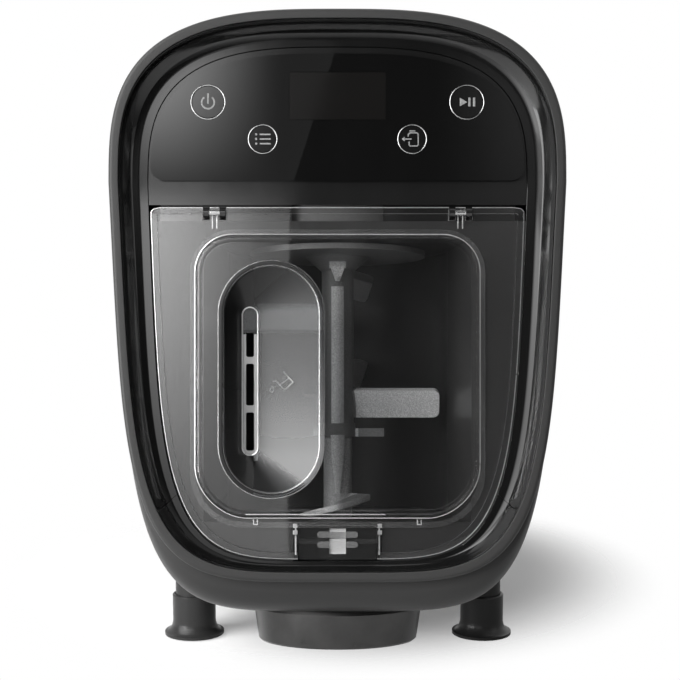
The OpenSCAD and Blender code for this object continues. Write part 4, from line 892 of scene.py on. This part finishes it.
# ---- Mixing chamber -------------------------------------------------------
# A dark satin tub of glass-filled plastic with a broad flange, and the rubber
# seal where the drive shaft comes through its ceiling.
dress(grained("chamber_plastic", 0.024, 0.005, 0.34, 0.8), "mixing_chamber")


def rubber(name, tone):
    """Soft rubber: dull, with moulding bloom and fine pores."""
    coat = finish(name)
    bloom = coat.noise(coat.where(), 35, 5)
    pores = coat.noise(coat.where(), 3200, 2)
    colour = coat.blend(bloom, grey(tone * 0.8), grey(tone * 1.3))
    return coat.surface(coat.plastic(colour, 0.66 + 0.16 * bloom, {"Normal": coat.bump(pores, 0.12, 0.0003)}))


dress(rubber("seal_rubber_black", 0.03), "drive_seal", "tube_seal")

# ---- Mixer ----------------------------------------------------------------
# The kneading paddle, a grey speckled nylon moulding with arms and a clip, on
# an auger of the same plastic; both slide on the drive shaft.
speckled = finish("speckled_nylon")
grains = speckled.noise(speckled.where(), 1500, 2, 0.7)
cloud = speckled.noise(speckled.where(), 60, 3)
x, n, w = in_head(speckled)
n = n - SHAFT_DEPTH
# Painted shade: the paddle's tube and, less, the auger's core, a wing low at its right and the collar at its
# top turn near black, and the rib's front darkens from left to right.
rib_front = (-1 * n).rising(9.3, 9.9) * (1 - w.rising(72, 73))
barrel = (1 - ((x * x + n * n) ** 0.5).rising(10.2, 10.6)) * (0.35 + 0.5 * w.rising(-18, -16))
wing = (1 - w.rising(-10, -9)) * w.rising(-21, -20) * x.rising(11, 12)
collar = (w.rising(73, 74.5) * ((x * x) ** 0.5).rising(4.2, 5)).top(w.rising(80, 81))
painted_shade = barrel.top(0.8 * wing).top(0.8 * collar).top(0.7 * rib_front * x.rising(-2.6, 3.4))
fleck = (grains.rising(0.35, 0.72) + 0.25 * (cloud - 0.5)).clamped()
flecked_and_shaded = speckled.blend(painted_shade, speckled.blend(fleck, grey(0.45), grey(0.82)), grey(0.03))
pitted = speckled.bump(grains, 0.14, 0.0003)
speckled.surface(speckled.plastic(flecked_and_shaded, 0.42 + 0.14 * grains, {"Normal": pitted}))
dress(speckled.owner, "mixing_paddle")

auger_foot, auger_head = -112, -16.8
flight_turn, flight_rise, flight_steps = 603, 60.3, 120
flight_start = math.radians(76)
screw = softened(rod(8, auger_foot, auger_head, 72), 0.4)
flight = bmesh.new()
blade = [(7.2, 0.1), (23.4, 0.1), (23.8, 0.6), (23.8, 3.1), (23.4, 3.6), (7.2, 3.6)]
out_x, out_y = math.cos(flight_start), math.sin(flight_start)
blade_verts = [flight.verts.new((r * out_x, r * out_y, auger_foot + w)) for r, w in blade]
blade_edges = [flight.edges.new(ends) for ends in zip(blade_verts, blade_verts[1:] + blade_verts[:1])]
bmesh.ops.contextual_create(flight, geom=blade_edges)
far_end = bmesh.ops.spin(
    flight, geom=blade_edges, cent=(0, 0, 0), axis=(0, 0, 1), dvec=(0, 0, flight_rise / flight_steps),
    angle=math.radians(flight_turn), steps=flight_steps,
)["geom_last"]
bmesh.ops.contextual_create(flight, geom=edges_of(far_end))
auger = on_shaft(joined(screw, flight))
piece("auger_screw", auger, "mixer", speckled.owner, ["auger"], 35)
dress(metal("shaft_steel", 0.6, 0.22, (1, 1, 0.1)), "drive_shaft")

# ---- Outlet ---------------------------------------------------------------
# A cast locking ring, dark anodised and turned, holds the shaping disc under
# the barrel by three lugs.
dress(metal("dark_anodised", 0.075, 0.3, (1, 1, 0.04), 0.01, 0.6), "locking_ring")
dress(grained("barrel_black", 0.03, 0.05, 0.4), "extrusion_tube")
dress(grained("die_cream", 0.55, 0.03, 0.38), "shaping_disc")

# ---- Legs and feet --------------------------------------------------------
# Round posts moulded in the same grained ABS, each in a flared sleeve that
# holds a black rubber pad.
dress(grained("leg_black_abs", 0.022, 0.06, 0.42), "leg_sockets", "leg_posts")
dress(grained("sleeve_black_abs", 0.026, 0.04, 0.3, 1.0), "foot_sleeves")
dress(rubber("foot_rubber_black", 0.02), "foot_pads")

# ---- Rear housing ---------------------------------------------------------
# The deep back shell, moulded in the front ring's grained ABS: it rounds off
# to a recessed rim, and its underside is open over the electronics.
rear_start = 130.3
rear_depths = [rear_start, 145, 165, 185, 205, 230, 260, 290, 310, round_from]
rear_depths += [round_from + rounding * math.sin(math.radians(a)) for a in range(8, 89, 8)]
drawn_forward = 0.6
back, back_n = housing(body_end), body_end - drawn_forward
rear_skin = [(housing(n), n - drawn_forward * max(n - round_from, 0) / rounding) for n in rear_depths]
rear_skin += [(back, back_n), (inset(back, 7.5), back_n), (inset(back, 8), back_n - 0.4)]
cover_seat = 367
rear_skin += [(inset(back, d), n) for d, n in ((8, cover_seat), (14, cover_seat), (14, cover_seat - 4))]
inner_depths = (362, 355, 345, 330, 300, 260, 200, 165, rear_start)
rear_skin += [(inset(housing(n + 5), shell_wall), n) for n in inner_depths]
rear_loft = lofted(rear_skin)
rear_loft.transform(HEAD)
hatch = skinned([[(x, y, z) for x, y in rounded(-73, 73, 15, 101, 5, 5)] for z in (38, 49)], closed=False)
hatch.transform(Matrix.Scale(0.001, 4))
rear_shell = cut(rear_loft, hatch)
piece("rear_shell", rear_shell, "main_unit", matt_black, ["rear_housing"], 30, Matrix())

# ---- Covers, screws and cord gland ----------------------------------------
# A vented back cover and a slotted bottom cover in plain black ABS, each held
# by four steel screws, and the rubber gland that the cord comes out of.
dress(grained("cover_black_abs", 0.02, 0.08, 0.5), "rear_cover", "bottom_cover")
dress(metal("screw_steel", 0.5, 0.3), "rear_cover_screws", "bottom_cover_screws", "gear_case_screws")
dress(rubber("gland_rubber_black", 0.025), "cord_gland")

# ---- Gears and motor ------------------------------------------------------
# White acetal gears on steel axles in a grey nylon case, driven by a brass
# pinion on a motor in a zinc-plated can with a black fan.
dress(grained("acetal_white", 0.62, 0.02, 0.32, 0.1), "drive_gear", "slow_gear", "quick_gear")
dress(grained("case_nylon", 0.09, 0.06, 0.45), "gear_case", "gear_case_cover", "motor_mount")
dress(metal("axle_steel", 0.6, 0.2, (1, 1, 0.1)), "gear_axles", "shaft_bearings", "motor_bearings")
dress(metal("can_zinc", 0.55, 0.34, (1, 1, 1), 0.0, 0.5), "motor_can")
dress(metal("rotor_steel_dark", 0.36, 0.4), "motor_rotor")
dress(metal("pinion_brass_worn", 0.62, 0.22, (1, 1, 1), 0.35), "motor_pinion")
dress(grained("fan_black", 0.03, 0.04, 0.4), "cooling_fan")

# ---- Circuit boards -------------------------------------------------------
# Glass-epoxy boards under green solder mask, with darker copper runs, and the
# display's own block.
board = finish("solder_mask")
runs = board.noise(board.where(), 420, 1, 0.3).rising(0.47, 0.53)
mask_green = board.blend(runs, (0.012, 0.09, 0.035, 1), (0.02, 0.15, 0.06, 1))
board.surface(board.plastic(mask_green, 0.3 + 0.1 * runs, {"Normal": board.bump(runs, 0.2, 0.0002)}))
dress(board.owner, "button_board", "main_board")
dress(grained("display_block_grey", 0.06, 0.03, 0.4), "display_module")
